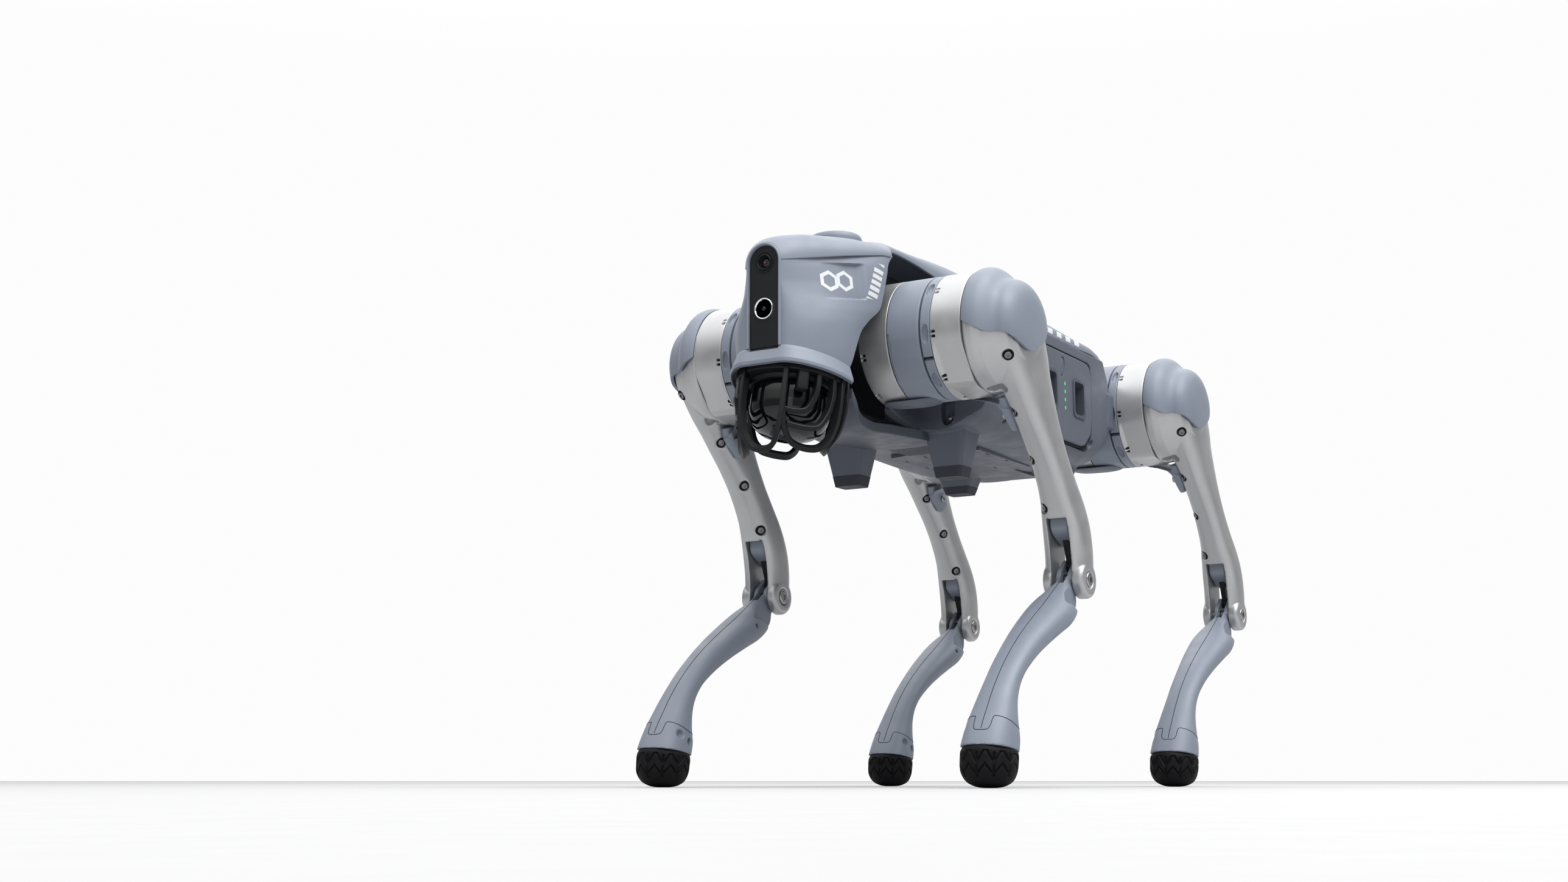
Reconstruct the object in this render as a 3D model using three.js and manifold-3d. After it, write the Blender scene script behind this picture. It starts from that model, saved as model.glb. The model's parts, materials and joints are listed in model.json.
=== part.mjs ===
// Quadruped robot dog, standing. Millimetres, +X forward, +Y to its left, +Z up.
// The origin is on the floor, under the middle of the robot's overall box.
// Every limb is drawn straight, in a frame of its own, and the nested groups stand it in its pose.
import * as THREE from 'three';
import { mergeVertices } from 'three/addons/utils/BufferGeometryUtils.js';
import Module from 'manifold-3d';

const wasm = await Module();
wasm.setup();

// ---------------------------------------------------------------- driving dimensions
const HIP_X = 193.4;            // hip axes ahead of and behind the trunk's middle
const ROLL_AXIS_Y = 46.5;       // hip roll axes, left and right of the middle
const LEG_Y = 144.5;            // middle plane of a leg
const LINK = 213;               // hip to knee, and knee to foot
const THIGH_LEAN = 28;          // degrees that the thigh leans back at rest
const KNEE_BEND = 76;           // degrees between the thigh's line and the shank's
const HIP_HEIGHT = 353;         // hip axes above the floor
const ORIGIN_X = 13;          // middle of the overall box ahead of the trunk's middle
const GAP = 0.3;                // running clearance between neighbouring pieces

const BARREL_R = 50;            // hip barrel, motors and shoulder share this radius
const HOUSING_Y = [36, 60.9];   // hip casting, from its inboard face outwards
const THIGH_MOTOR_Y = [61.2, 88.5];
const RING_Y = [90, 97];
const KNEE_MOTOR_Y = [97.3, 122.9];
const CASTING_Y = 123.2;         // inner face of the shoulder casting

const KNEE_PIN_R = 5;
const KNEE_PIN_END = 18.4;      // the pin's ends, from the leg's middle plane
const SLOT_HALF = 8;            // half width of the slot at the foot of the thigh
const SLOT_TOP = 158;           // the slot starts this far below the hip
const LEVER_R = 13;             // both levers of the knee linkage
const LEVER_ANGLE = 50;         // degrees of the levers behind the thigh's line at rest
const ROD_HALF = 2.5;           // half thickness of the push rod
const LINK_PIN_R = 2.5;

const TRUNK_END = 142;
const TRUNK_BOTTOM = -61;
const SEAM_Z = 41;              // top cover meets the chassis
const WALL = 3;
const END_PLATE_X = 248;         // front of the plate that carries the head

// ---------------------------------------------------------------- materials
const finish = (color, roughness, metalness = 0) =>
  new THREE.MeshStandardMaterial({ color, roughness, metalness });
const SLATE = finish(0x8a93a3, 0.45);
const DARK_SLATE = finish(0x6f7787, 0.5);
const SILVER = finish(0xb9babb, 0.38, 0.5);
const STEEL = finish(0x9a9da2, 0.3, 0.9);
const BLACK = finish(0x17181b, 0.35);
const GLOSS = finish(0x0b0c10, 0.08);
const RUBBER = finish(0x1b1c1f, 0.8);
const CLEAR = finish(0xdfe4e8, 0.05);
const GREEN_BOARD = finish(0x1d4a33, 0.6);

// ---------------------------------------------------------------- solids
const rad = THREE.MathUtils.degToRad;

function signedVolume(position, index) {
  let sum = 0;
  const [a, b, c] = [new THREE.Vector3(), new THREE.Vector3(), new THREE.Vector3()];
  for (let i = 0; i < index.length; i += 3) {
    a.fromArray(position, 3 * index[i]);
    b.fromArray(position, 3 * index[i + 1]);
    c.fromArray(position, 3 * index[i + 2]);
    sum += a.dot(b.cross(c));
  }
  return sum;
}

// A closed geometry as a solid, with its faces turned outwards.
function solid(geometry) {
  const bare = geometry.clone();
  bare.deleteAttribute('normal');
  bare.deleteAttribute('uv');
  const merged = mergeVertices(bare, 1e-4);
  const position = new Float32Array(merged.attributes.position.array);
  const index = new Uint32Array(merged.index.array);
  const kept = [];
  for (let i = 0; i < index.length; i += 3) {
    const [a, b, c] = index.subarray(i, i + 3);
    if (a !== b && b !== c && c !== a) kept.push(a, b, c);
  }
  if (signedVolume(position, kept) < 0) kept.reverse();
  return new wasm.Manifold(
    new wasm.Mesh({ numProp: 3, vertProperties: position, triVerts: new Uint32Array(kept) }));
}

function geometryOf(body) {
  const { vertProperties, triVerts } = body.getMesh();
  const geometry = new THREE.BufferGeometry();
  geometry.setAttribute('position', new THREE.BufferAttribute(vertProperties, 3));
  geometry.setIndex(new THREE.BufferAttribute(triVerts, 1));
  geometry.computeVertexNormals();
  return geometry;
}

const join = (...bodies) => bodies.reduce((sum, next) => sum.add(next));
const cut = (body, ...tools) => tools.reduce((left, tool) => left.subtract(tool), body);

function block(x0, x1, y0, y1, z0, z1) {
  const box = new THREE.BoxGeometry(x1 - x0, y1 - y0, z1 - z0);
  box.translate((x0 + x1) / 2, (y0 + y1) / 2, (z0 + z1) / 2);
  return solid(box);
}

// A profile of [radius, height] turned about the Y axis, from axis to axis or closed on itself.
function turned(profile, sides = 20) {
  return solid(new THREE.LatheGeometry(profile.map(([r, h]) => new THREE.Vector2(r, h)), sides));
}

// A drum along Y.
function drum(radius, y0, y1, sides = 24) {
  return turned([[0, y0], [radius, y0], [radius, y1], [0, y1]], sides);
}

function rod(radius, from, to, sides = 12) {
  const start = new THREE.Vector3(...from);
  const along = new THREE.Vector3(...to).sub(start);
  const bar = new THREE.CylinderGeometry(radius, radius, along.length(), sides);
  bar.translate(0, along.length() / 2, 0);
  bar.applyQuaternion(new THREE.Quaternion().setFromUnitVectors(
    new THREE.Vector3(0, 1, 0), along.clone().normalize()));
  bar.translate(start.x, start.y, start.z);
  return solid(bar);
}

// A flat plate: an outline in the X-Z plane, from y0 to y1.
function plateXZ(points, y0, y1) {
  const shape = new THREE.Shape(points.map(([x, z]) => new THREE.Vector2(x, z)));
  const slab = new THREE.ExtrudeGeometry(shape, { depth: y1 - y0, bevelEnabled: false });
  slab.rotateX(Math.PI / 2);
  slab.translate(0, y1, 0);
  return solid(slab);
}

// A flat plate: an outline in the Y-Z plane, from x0 to x1.
function plateYZ(points, x0, x1) {
  const shape = new THREE.Shape(points.map(([y, z]) => new THREE.Vector2(y, z)));
  const slab = new THREE.ExtrudeGeometry(shape, { depth: x1 - x0, bevelEnabled: false });
  slab.rotateX(Math.PI / 2);
  slab.rotateZ(Math.PI / 2);
  slab.translate(x0, 0, 0);
  return solid(slab);
}

// Rings of points, one after the other, closed at both ends.
function loft(rings) {
  const count = rings[0].length;
  const points = rings.flat();
  const index = [];
  for (let r = 0; r < rings.length - 1; r += 1) {
    for (let i = 0; i < count; i += 1) {
      const a = r * count + i;
      const b = r * count + ((i + 1) % count);
      index.push(a, b, b + count, a, b + count, a + count);
    }
  }
  for (const [ring, flip] of [[0, true], [rings.length - 1, false]]) {
    const centre = points.length;
    points.push(rings[ring].reduce((sum, p) => sum.add(p), new THREE.Vector3())
      .divideScalar(count));
    for (let i = 0; i < count; i += 1) {
      const a = ring * count + i;
      const b = ring * count + ((i + 1) % count);
      index.push(...(flip ? [b, a, centre] : [a, b, centre]));
    }
  }
  const geometry = new THREE.BufferGeometry();
  geometry.setAttribute('position',
    new THREE.Float32BufferAttribute(points.flatMap((p) => [p.x, p.y, p.z]), 3));
  geometry.setIndex(index);
  return solid(geometry);
}

// An oval between a front and a rear point of the X-Z plane, which bulges along Y.
// A power of 2 is an ellipse, and more makes it squarer. slim narrows its front edge, and a
// phase of a half starts it between two points, so that four points make a square.
function oval({ front, rear, half, y = 0, power = 2.4, slim = 0, count = 12, phase = 0 }) {
  const middle = new THREE.Vector3((front[0] + rear[0]) / 2, y, (front[1] + rear[1]) / 2);
  const toFront = new THREE.Vector3(front[0], y, front[1]).sub(middle);
  return Array.from({ length: count }, (_, i) => {
    const turn = (2 * Math.PI * (i + phase)) / count;
    const bulge = (value) => Math.sign(value) * Math.abs(value) ** (2 / power);
    const ahead = bulge(Math.cos(turn));
    const side = bulge(Math.sin(turn)) * half * (1 - slim * Math.max(0, ahead));
    return middle.clone().addScaledVector(toFront, ahead).setY(y + side);
  });
}

// A limb along a curve in the X-Z plane: stations of [along, offset, halfDepth, halfWidth].
// Along runs down from the joint, and offset runs forward.
function limb(stations, { y = 0, power = 2.6, count = 12, phase = 0 } = {}) {
  const points = stations.map(([along, offset]) => new THREE.Vector2(offset, -along));
  return loft(stations.map(([, , depth, half], i) => {
    const before = points[Math.max(0, i - 1)];
    const after = points[Math.min(points.length - 1, i + 1)];
    const ahead = after.clone().sub(before).normalize().multiplyScalar(depth);
    const { x, y: z } = points[i];
    return oval({ front: [x - ahead.y, z + ahead.x], rear: [x + ahead.y, z - ahead.x],
      half, y, power, count, phase });
  }));
}

function mesh(name, body, material) {
  const part = new THREE.Mesh(geometryOf(body), material);
  part.name = name;
  return part;
}

function group(position, children, turn = 0) {
  const frame = new THREE.Group();
  frame.position.set(...position);
  frame.rotation.y = rad(turn);
  frame.add(...children);
  return frame;
}

// ---------------------------------------------------------------- hip
// The casting that rolls about the X axis. It carries the barrel and, on its trunk side, the
// output flange of the roll motor. end is 1 on a front leg and -1 on a rear leg.
const FLANGE_R = 14;
const FLANGE_REACH = 52.4;

function hipHousing(end) {
  const flange = rod(FLANGE_R, [0, ROLL_AXIS_Y, 0], [-end * FLANGE_REACH, ROLL_AXIS_Y, 0], 16);
  return join(drum(BARREL_R, ...HOUSING_Y), flange);
}

function thighMotor() {
  return drum(BARREL_R, ...THIGH_MOTOR_Y);
}

// A split ring: the clamp's slit runs right through its rim.
const SLIT_HALF = 0.8;
const SLIT_DEPTH = 7;

function clampRing() {
  const slit = block(BARREL_R - SLIT_DEPTH, BARREL_R + 5, RING_Y[0] - 1, RING_Y[1] + 1,
    -SLIT_HALF, SLIT_HALF);
  return cut(drum(BARREL_R, ...RING_Y), slit);
}

function kneeMotor() {
  return drum(BARREL_R, ...KNEE_MOTOR_Y);
}

// ---------------------------------------------------------------- shoulder and thigh
const SHOULDER = [[0, CASTING_Y], [48.5, CASTING_Y], [47.5, 133], [41, 145], [32, 155],
  [16, 160.5], [0, 161]];
const CAP_Y = CASTING_Y + 0.8;
const CAP = [[0, CAP_Y], [50, CAP_Y], [51.5, 131], [48.5, 140], [42, 147], [39, 155],
  [31, 161.5], [14, 164.2], [0, 164.5]];
const CORE = [[0, CASTING_Y], [43, CASTING_Y], [43, 136], [32, 151], [20, 157.5],
  [0, 158.5]];
// The crank turns in a round room inside the shoulder, and the push rod swings in a channel.
const CRANK_ROOM = { r: 20, end: 150 };
const CHANNEL = { leverAngle: 40, half: 11, alongs: [4, 45, 90, 130, 175] };

// The lower edge of the shoulder cap, as [y, z]: two waves, deepest at the outer side.
const CAP_EDGE = [[110, -1], [124, -1], [131, -9], [143, -9], [150, -12], [159, -23],
  [180, -23]];

function aboveCapEdge(drop) {
  const edge = CAP_EDGE.map(([y, z]) => [y, z - drop]);
  return plateYZ([...edge, [180, 70], [110, 70]], -70, 70);
}

const ROD_BOW = 7;

// Where the push rod runs inside the thigh, for levers at this angle behind the thigh's line.
function rodLine(angle, alongs) {
  const pin = [-LEVER_R * Math.sin(rad(angle)), LEVER_R * Math.cos(rad(angle))];
  return alongs.map((along) => {
    const bow = ROD_BOW * Math.sin((Math.PI * Math.min(Math.max(along, 0), LINK)) / LINK);
    return [along - pin[1], pin[0] - bow];
  });
}

const SQUARE = { y: LEG_Y, power: 40, count: 4, phase: 0.5 };

function thighCasting() {
  const bar = limb([[-20, 3, 14, 12], [0, 0, 34, 15.5], [30, -3, 33, 14.5], [50, -5.5, 28, 12.5],
    [70, -8.5, 24, 11.5], [88, -11.5, 20.6, 11], [118, -15.6, 17, 11.5], [142, -17.8, 17, 13],
    [162, -18.3, 16.8, 16.4], [180, -16, 16.4, 17.3], [198, -9, 15.8, 17.5],
    [212, -2, 15, 17.5]], { y: LEG_Y, power: 3, count: 10 });
  const knee = rod(15.2, [0, LEG_Y - 17.5, -LINK], [0, LEG_Y + 17.5, -LINK], 18);
  const shoulder = cut(turned(SHOULDER), aboveCapEdge(GAP));
  const core = turned(CORE);
  const body = join(shoulder, core, cut(bar, aboveCapEdge(GAP)), knee);
  const slot = limb([[SLOT_TOP, -8, 20, SLOT_HALF], [SLOT_TOP + 12, -7, 23, SLOT_HALF],
    [200, 2, 22, SLOT_HALF], [LINK + 25, 6, 28, SLOT_HALF]], SQUARE);
  const room = drum(CRANK_ROOM.r, CASTING_Y - 1, CRANK_ROOM.end, 12);
  const channel = limb(rodLine(CHANNEL.leverAngle, CHANNEL.alongs).map(
    ([along, offset]) => [along, offset, CHANNEL.half, ROD_HALF + 1.5]), SQUARE);
  const bore = rod(KNEE_PIN_R + GAP, [0, LEG_Y - 20, -LINK], [0, LEG_Y + 20, -LINK], 10);
  return cut(body, slot, room, channel, bore);
}

function shoulderCap() {
  const skin = turned(CAP).intersect(aboveCapEdge(0));
  const inside = turned(CORE.map(([r, y]) => [r && r + GAP, y === CASTING_Y ? y - 1 : y + GAP]));
  return cut(skin, inside);
}

// ---------------------------------------------------------------- knee linkage
const pinAt = (reach) => [-reach * Math.sin(rad(LEVER_ANGLE)), reach * Math.cos(rad(LEVER_ANGLE))];

// Both levers have the same outline: round at the pivot and round at the pin.
function lever(rootR, tipR, y0, y1) {
  const [px, pz] = pinAt(LEVER_R);
  const root = rod(rootR, [0, y0, 0], [0, y1, 0], 14);
  const tip = rod(tipR, [px, y0, pz], [px, y1, pz], 10);
  const across = new THREE.Vector2(pz, -px).divideScalar(LEVER_R);
  const corner = (x, z, reach) => [x + across.x * reach, z + across.y * reach];
  const web = plateXZ([corner(0, 0, 0.9 * rootR), corner(0, 0, -0.9 * rootR),
    corner(px, pz, -tipR), corner(px, pz, tipR)], y0, y1);
  return join(root, tip, web);
}

function kneeCrank() {
  const [px, pz] = pinAt(LEVER_R);
  const face = LEG_Y - ROD_HALF - 1;
  return join(rod(9, [0, KNEE_MOTOR_Y[1] + GAP, 0], [0, face, 0], 14),
    lever(9, 5, face - 5, face),
    rod(LINK_PIN_R, [px, face - 1, pz], [px, LEG_Y + ROD_HALF + 1, pz], 8));
}

// The rod is drawn in the frame of the crank's pin. It bows back to stay inside the thigh.
function pushRod() {
  const [px, pz] = pinAt(LEVER_R);
  const alongs = [0, 35, 75, 110, 145, 180, LINK];
  const bar = limb(rodLine(LEVER_ANGLE, alongs).map(
    ([along, offset]) => [along, offset, 2.6, ROD_HALF]), SQUARE);
  const ends = [0, LINK].map((drop) => [px, pz - drop]);
  const through = (radius, reach, sides) => ends.map(([x, z]) =>
    rod(radius, [x, LEG_Y - reach, z], [x, LEG_Y + reach, z], sides));
  return cut(join(bar, ...through(5.2, ROD_HALF, 10)), ...through(LINK_PIN_R + GAP, 9, 8));
}

function kneePin() {
  return rod(KNEE_PIN_R - 0.1, [0, LEG_Y - KNEE_PIN_END, 0], [0, LEG_Y + KNEE_PIN_END, 0], 10);
}

// ---------------------------------------------------------------- shank and foot
const FORK_HALF = SLOT_HALF - 0.9;
const FORK_GAP = ROD_HALF + 0.5;

// Stations of the shank: the front and the rear point as [forward, up], and the half width.
const SHANK = [
  [[9.5, 0], [-9.5, 0], FORK_HALF],
  [[10.8, -16], [-12.3, -14], FORK_HALF],
  [[12.5, -23], [-15.8, -21], 12.5],
  [[14, -33], [-13.6, -34], 18],
  [[18, -52], [-7, -57], 19.3],
  [[23, -72], [-0.5, -77], 17.8],
  [[27.6, -95], [7, -99], 15.4],
  [[31.8, -127], [13.6, -125], 14],
  [[32.2, -157], [15.3, -150], 13.4],
  [[30.7, -173], [12.5, -161], 14.4],
  [[27.7, -189], [8, -170], 16.2],
  [[24.9, -202.5], [-0.3, -179], 18.2],
  [[21, -215.9], [-8.9, -184.2], 20],
];

function shank() {
  const body = loft(SHANK.map(([front, rear, half], i) => oval({ front, rear, half, y: LEG_Y,
    power: i < 2 ? 6 : 2.5, slim: i > 1 && i < 5 ? 0.5 : 0, count: 10 })));
  const fork = lever(11.5, 5, LEG_Y - FORK_HALF, LEG_Y + FORK_HALF);
  const sweep = rod(21, [0, LEG_Y - FORK_GAP, 0], [0, LEG_Y + FORK_GAP, 0], 12);
  const [px, pz] = pinAt(LEVER_R);
  const pin = rod(LINK_PIN_R, [px, LEG_Y - FORK_HALF, pz], [px, LEG_Y + FORK_HALF, pz], 8);
  const bore = rod(KNEE_PIN_R + GAP, [0, LEG_Y - 20, 0], [0, LEG_Y + 20, 0], 10);
  const linkage = (piece) => piece.rotate([0, KNEE_BEND, 0]);
  return join(cut(join(body, linkage(fork)), sweep, bore), linkage(pin));
}

// Level slices of the rubber foot about the ankle point: [up, forward, halfDepth, halfWidth].
const FOOT = [[12.2, -4.8, 21.3, 19.8], [5.6, -2, 23.2, 21.2], [-2.4, 0, 24, 22],
  [-10.4, 0, 23, 21.2], [-17, -0.6, 18.6, 17.8], [-21, -1, 11.5, 11], [-22.4, -1, 5, 5]];

function foot() {
  return loft(FOOT.map(([up, forward, depth, half]) => oval({
    front: [forward + depth, up], rear: [forward - depth, up], half, y: LEG_Y, power: 2.2,
    count: 14 })));
}

// ---------------------------------------------------------------- one leg
// end is 1 in front and -1 behind; side is 1 on the left and -1 on the right.
function leg(name, end, side) {
  const ankle = group([0, 0, -LINK], [mesh(`${name}_foot`, foot(), RUBBER)],
    KNEE_BEND - THIGH_LEAN);
  const lower = group([0, 0, -LINK], [mesh(`${name}_shank`, shank(), SLATE), ankle], -KNEE_BEND);
  const pin = group([0, 0, -LINK], [mesh(`${name}_knee_pin`, kneePin(), STEEL)]);
  const upper = group([0, 0, 0], [
    mesh(`${name}_clamp_ring`, clampRing(), SLATE),
    mesh(`${name}_knee_motor`, kneeMotor(), SILVER),
    mesh(`${name}_thigh`, thighCasting(), SILVER),
    mesh(`${name}_shoulder_cap`, shoulderCap(), SLATE),
    mesh(`${name}_knee_crank`, kneeCrank(), STEEL),
    mesh(`${name}_push_rod`, pushRod(), BLACK),
    pin,
    lower,
  ], THIGH_LEAN);
  const whole = group([end * HIP_X, 0, 0], [
    mesh(`${name}_hip_housing`, hipHousing(end), SILVER),
    mesh(`${name}_thigh_motor`, thighMotor(), SLATE),
    upper,
  ]);
  whole.scale.y = side;
  return whole;
}

// ---------------------------------------------------------------- trunk
// A rounded section across the trunk: half width, bottom and top.
function across(x, half, bottom, top, power = 5, count = 16) {
  return oval({ front: [0, top], rear: [0, bottom], half, power, count })
    .map((p) => new THREE.Vector3(x, p.y, p.z));
}

// The trunk's outside at inset 0, and the inside of its walls at inset WALL.
function trunkBody(inset) {
  const plan = [[-TRUNK_END, 74], [-TRUNK_END + 4, 84], [-TRUNK_END + 18, 90], [-70, 92.5],
    [70, 92.5], [TRUNK_END - 18, 90], [TRUNK_END - 4, 84], [TRUNK_END, 74]];
  return loft(plan.map(([x, half]) => across(x * (1 - inset / TRUNK_END), half - inset,
    TRUNK_BOTTOM + inset, 58 + inset)));
}

// The four tapered feet under the belly, on which the folded robot lies.
const POSTS = [{ x: 109, tip: -98.5 }, { x: -104, tip: -78 }];
const POST = { y: 48.5, root: -50, rootDepth: 18, rootHalf: 21.5, tipDepth: 9.8, tipHalf: 12 };

function bellyPost({ x, tip }, y) {
  const slice = (z, depth, half) =>
    oval({ front: [depth, 0], rear: [-depth, 0], half, power: 9, count: 16 })
      .map((p) => new THREE.Vector3(x + p.x, y + p.y, z));
  return loft([slice(POST.root, POST.rootDepth, POST.rootHalf),
    slice(tip, POST.tipDepth, POST.tipHalf)]);
}

const BATTERY = { x: [-91, 37], y: [-73, 94.5], z: [-50, 31] };
const SHELF = { x: [-95, 85], half: 91, top: 35 };
const BRIDGE = { half: 34, z: [-72, -66.5], from: 102 };
const NECK = { half: 40, thick: 3.4, top: 66 };

function chassis() {
  const above = block(-200, 200, -120, 120, SEAM_Z, 90);
  const shell = cut(trunkBody(0), trunkBody(WALL), above);
  const shelf = block(...SHELF.x, -SHELF.half, SHELF.half, SHELF.top - WALL, SHELF.top)
    .intersect(trunkBody(1));
  const posts = POSTS.flatMap((post) => [-1, 1].map((side) => bellyPost(post, side * POST.y)));
  const bridge = join(block(BRIDGE.from, END_PLATE_X, -BRIDGE.half, BRIDGE.half, ...BRIDGE.z),
    block(BRIDGE.from, TRUNK_END - 2, -BRIDGE.half, BRIDGE.half, BRIDGE.z[0], TRUNK_BOTTOM + 1));
  const neck = block(END_PLATE_X - NECK.thick, END_PLATE_X, -NECK.half, NECK.half,
    BRIDGE.z[0], NECK.top);
  const holes = [1, -1].flatMap((end) => [1, -1].map((side) => rod(FLANGE_R + 3,
    [end * 125, side * ROLL_AXIS_Y, 0], [end * 160, side * ROLL_AXIS_Y, 0], 16)));
  const bay = block(BATTERY.x[0] - GAP, BATTERY.x[1] + GAP, 60, 120,
    BATTERY.z[0] - GAP, BATTERY.z[1] + GAP);
  return cut(join(shell, shelf, ...posts, bridge, neck), ...holes, bay);
}

// Arches across the cover, from its nose to its tail: x, half width, top and lower edge.
const ARCHES = [[331, 15, 62, 53.3], [320, 23, 66, 53.3], [304, 34, 71, 53.3],
  [280, 46, 76.5, 53.3], [255, 53, 81, 53.3], [240, 55, 83, 55], [226, 50, 85, 64],
  [212, 44, 87, 73], [150, 42.5, 90, 75], [130, 52, 90, 66], [114, 65, 87, 54], [96, 79, 81, 43],
  [76, 87, 75, 41.3], [36, 89.5, 67, 41.3], [-70, 89.5, 58, 41.3], [-124, 88, 54, 41.3],
  [-142, 74, 46, 41.3]];
const ARCH_STEPS = 8;

function archSolid(inset) {
  const bulge = (value) => Math.sign(value) * Math.abs(value) ** 0.66;
  return loft(ARCHES.map(([x, half, top, edge]) => {
    const low = edge - (inset ? 20 : 0);
    return Array.from({ length: ARCH_STEPS + 1 }, (_, i) => {
      const turn = (Math.PI * i) / ARCH_STEPS;
      return new THREE.Vector3(inset ? x * 0.99 - 1 : x, (half - inset) * bulge(Math.cos(turn)),
        low + (top - inset - low) * bulge(Math.sin(turn)));
    });
  }));
}

const PUCK = { x: 220, r: 22, z: [80, 93] };

function topCover() {
  const puckSeat = rod(PUCK.r + GAP, [PUCK.x, 0, PUCK.z[0] - GAP], [PUCK.x, 0, 110], 20);
  return cut(archSolid(0), cut(archSolid(WALL), puckFloor()), puckSeat, faceOutline(GAP));
}

// A thicker patch of the cover under the antenna.
function puckFloor() {
  return rod(PUCK.r + 3, [PUCK.x, 0, PUCK.z[0] - 4], [PUCK.x, 0, 100], 20);
}

function antennaPuck() {
  const body = turned([[0, 0], [PUCK.r, 0], [PUCK.r, 7], [PUCK.r - 1.5, 11], [PUCK.r - 4, 13],
    [0, 13]], 20);
  return body.rotate([90, 0, 0]).translate([PUCK.x, 0, PUCK.z[0]]);
}

// ---------------------------------------------------------------- head
const FACE = { x: [327, 330.2], half: 13, z: [-22.7, 43.7] };
const CAMERA = { z: 43.7, r: 8.2, x: [296, 331.4] };
const LAMP = { z: 7, r: 7.6, x: [308, 332.4] };

// The outline of the black face plate, grown by a margin, as a solid through the nose.
function faceOutline(margin, x0 = 318, x1 = 340) {
  const half = FACE.half + margin;
  const top = Array.from({ length: 9 }, (_, i) => {
    const turn = (Math.PI * i) / 8;
    return [half * Math.cos(turn), FACE.z[1] + half * Math.sin(turn)];
  });
  return plateYZ([[-half, FACE.z[0] - margin], [half, FACE.z[0] - margin], ...top], x0, x1);
}

function facePlate() {
  const bore = (z, r) => rod(r + GAP, [300, 0, z], [350, 0, z], 16);
  return cut(faceOutline(0, ...FACE.x), bore(CAMERA.z, CAMERA.r), bore(LAMP.z, LAMP.r));
}

function cameraModule() {
  return rod(CAMERA.r, [CAMERA.x[0], 0, CAMERA.z], [CAMERA.x[1], 0, CAMERA.z], 16);
}

function frontLamp() {
  return rod(LAMP.r, [LAMP.x[0], 0, LAMP.z], [LAMP.x[1], 0, LAMP.z], 16);
}

// Level slices of the head: height, nose, half width at the back, and the back edge.
const HEAD = [[-37, 332.5, 47.5, 276], [-29, 331.5, 45.5, 274], [-23, 331, 45, 271],
  [-8, 331, 49.5, 268], [6, 331, 53, 262], [18, 331, 56, 250.6], [36, 331, 57, 250.4],
  [53, 331, 55, 250.4]];
const NOSE_HALF = 15.5;

function headSolid(inset) {
  return loft(HEAD.map(([z, nose, half, back], level) => {
    const spread = inset && (level === 0 ? -5 : level === HEAD.length - 1 ? 5 : 0);
    const rim = Array.from({ length: 7 }, (_, i) => {
      const along = i / 6;
      const x = nose - inset - (nose - back + (inset && 6)) * along;
      const spreadOut = (half - inset / 2 - NOSE_HALF) * Math.sin((Math.PI / 2) * along);
      return [x, NOSE_HALF - inset / 2 + spreadOut];
    });
    return [...rim.map(([x, y]) => new THREE.Vector3(x, -y, z + spread)),
      ...rim.reverse().map(([x, y]) => new THREE.Vector3(x, y, z + spread))];
  }));
}

function headShell() {
  return cut(headSolid(0), headSolid(WALL), faceOutline(GAP));
}

const LIDAR = { x: 288, top: -37.4, under: -44, tilt: -12 };

const upright = (profile, sides = 20) => turned(profile, sides).rotate([90, 0, 0]);

function lidarBase() {
  return upright([[0, LIDAR.under + 0.5], [36.2, LIDAR.under + 0.5], [36.2, LIDAR.top],
    [0, LIDAR.top]]).translate([LIDAR.x, 0, 0]);
}

// The dome turns about its own upright axis, in a frame that tilts with the sensor.
function lidarDome() {
  return upright([[0, -50], [14, -49], [25, -44], [31, -34], [32, -22], [31, -9], [0, -9]]);
}

// One U-shaped bar of the guard: down one side of the dome, under it and up again.
function guardLoop(bearing, spread) {
  const at = (turn, r, z) => new THREE.Vector3(
    LIDAR.x + r * Math.cos(rad(bearing + turn)) - (z - LIDAR.under) * 0.18,
    r * Math.sin(rad(bearing + turn)), z);
  const low = LIDAR.under - 53 - 5 * Math.cos(rad(bearing));
  const side = (sign) => [at(sign * spread, 41, LIDAR.under + 1),
    at(sign * spread, 44, LIDAR.under - 24), at(sign * spread * 0.8, 40, low + 15)];
  const path = new THREE.CatmullRomCurve3([...side(-1), at(0, 32, low), ...side(1).reverse()]);
  const section = new THREE.Shape(Array.from({ length: 4 }, (_, i) => new THREE.Vector2(
    3.4 * Math.cos((Math.PI * (2 * i + 1)) / 4), 3.4 * Math.sin((Math.PI * (2 * i + 1)) / 4))));
  return solid(new THREE.ExtrudeGeometry(section, { steps: 12, extrudePath: path }));
}

function lidarGuard() {
  const ring = upright([[36.8, LIDAR.under], [44.5, LIDAR.under], [44.5, LIDAR.top],
    [36.8, LIDAR.top], [36.8, LIDAR.under]]).translate([LIDAR.x, 0, 0]);
  const loops = [[0, 24], [58, 32], [-58, 32], [132, 28], [-132, 28]].map(([bearing, spread]) =>
    guardLoop(bearing, spread));
  return cut(join(ring, ...loops), block(200, END_PLATE_X + GAP, -60, 60, -120, -30));
}

// ---------------------------------------------------------------- inside and underneath
const MOTOR = { x: [97, 128], r: 36, hub: 12, face: 140.7 };

// Both roll motors of one end, on their common mounting bridge. end is 1 in front.
function hipMotors(end) {
  const along = (radius, side, x0, x1, sides) =>
    rod(radius, [end * x0, side * ROLL_AXIS_Y, 0], [end * x1, side * ROLL_AXIS_Y, 0], sides);
  const drums = [1, -1].map((side) => join(along(MOTOR.r, side, ...MOTOR.x, 24),
    along(MOTOR.hub, side, MOTOR.x[1], MOTOR.face, 12)));
  const [x0, x1] = [end * MOTOR.x[0], end * (MOTOR.x[0] + 12)].sort((a, b) => a - b);
  return join(...drums, block(x0, x1, -12, 12, -24, 24));
}

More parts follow.
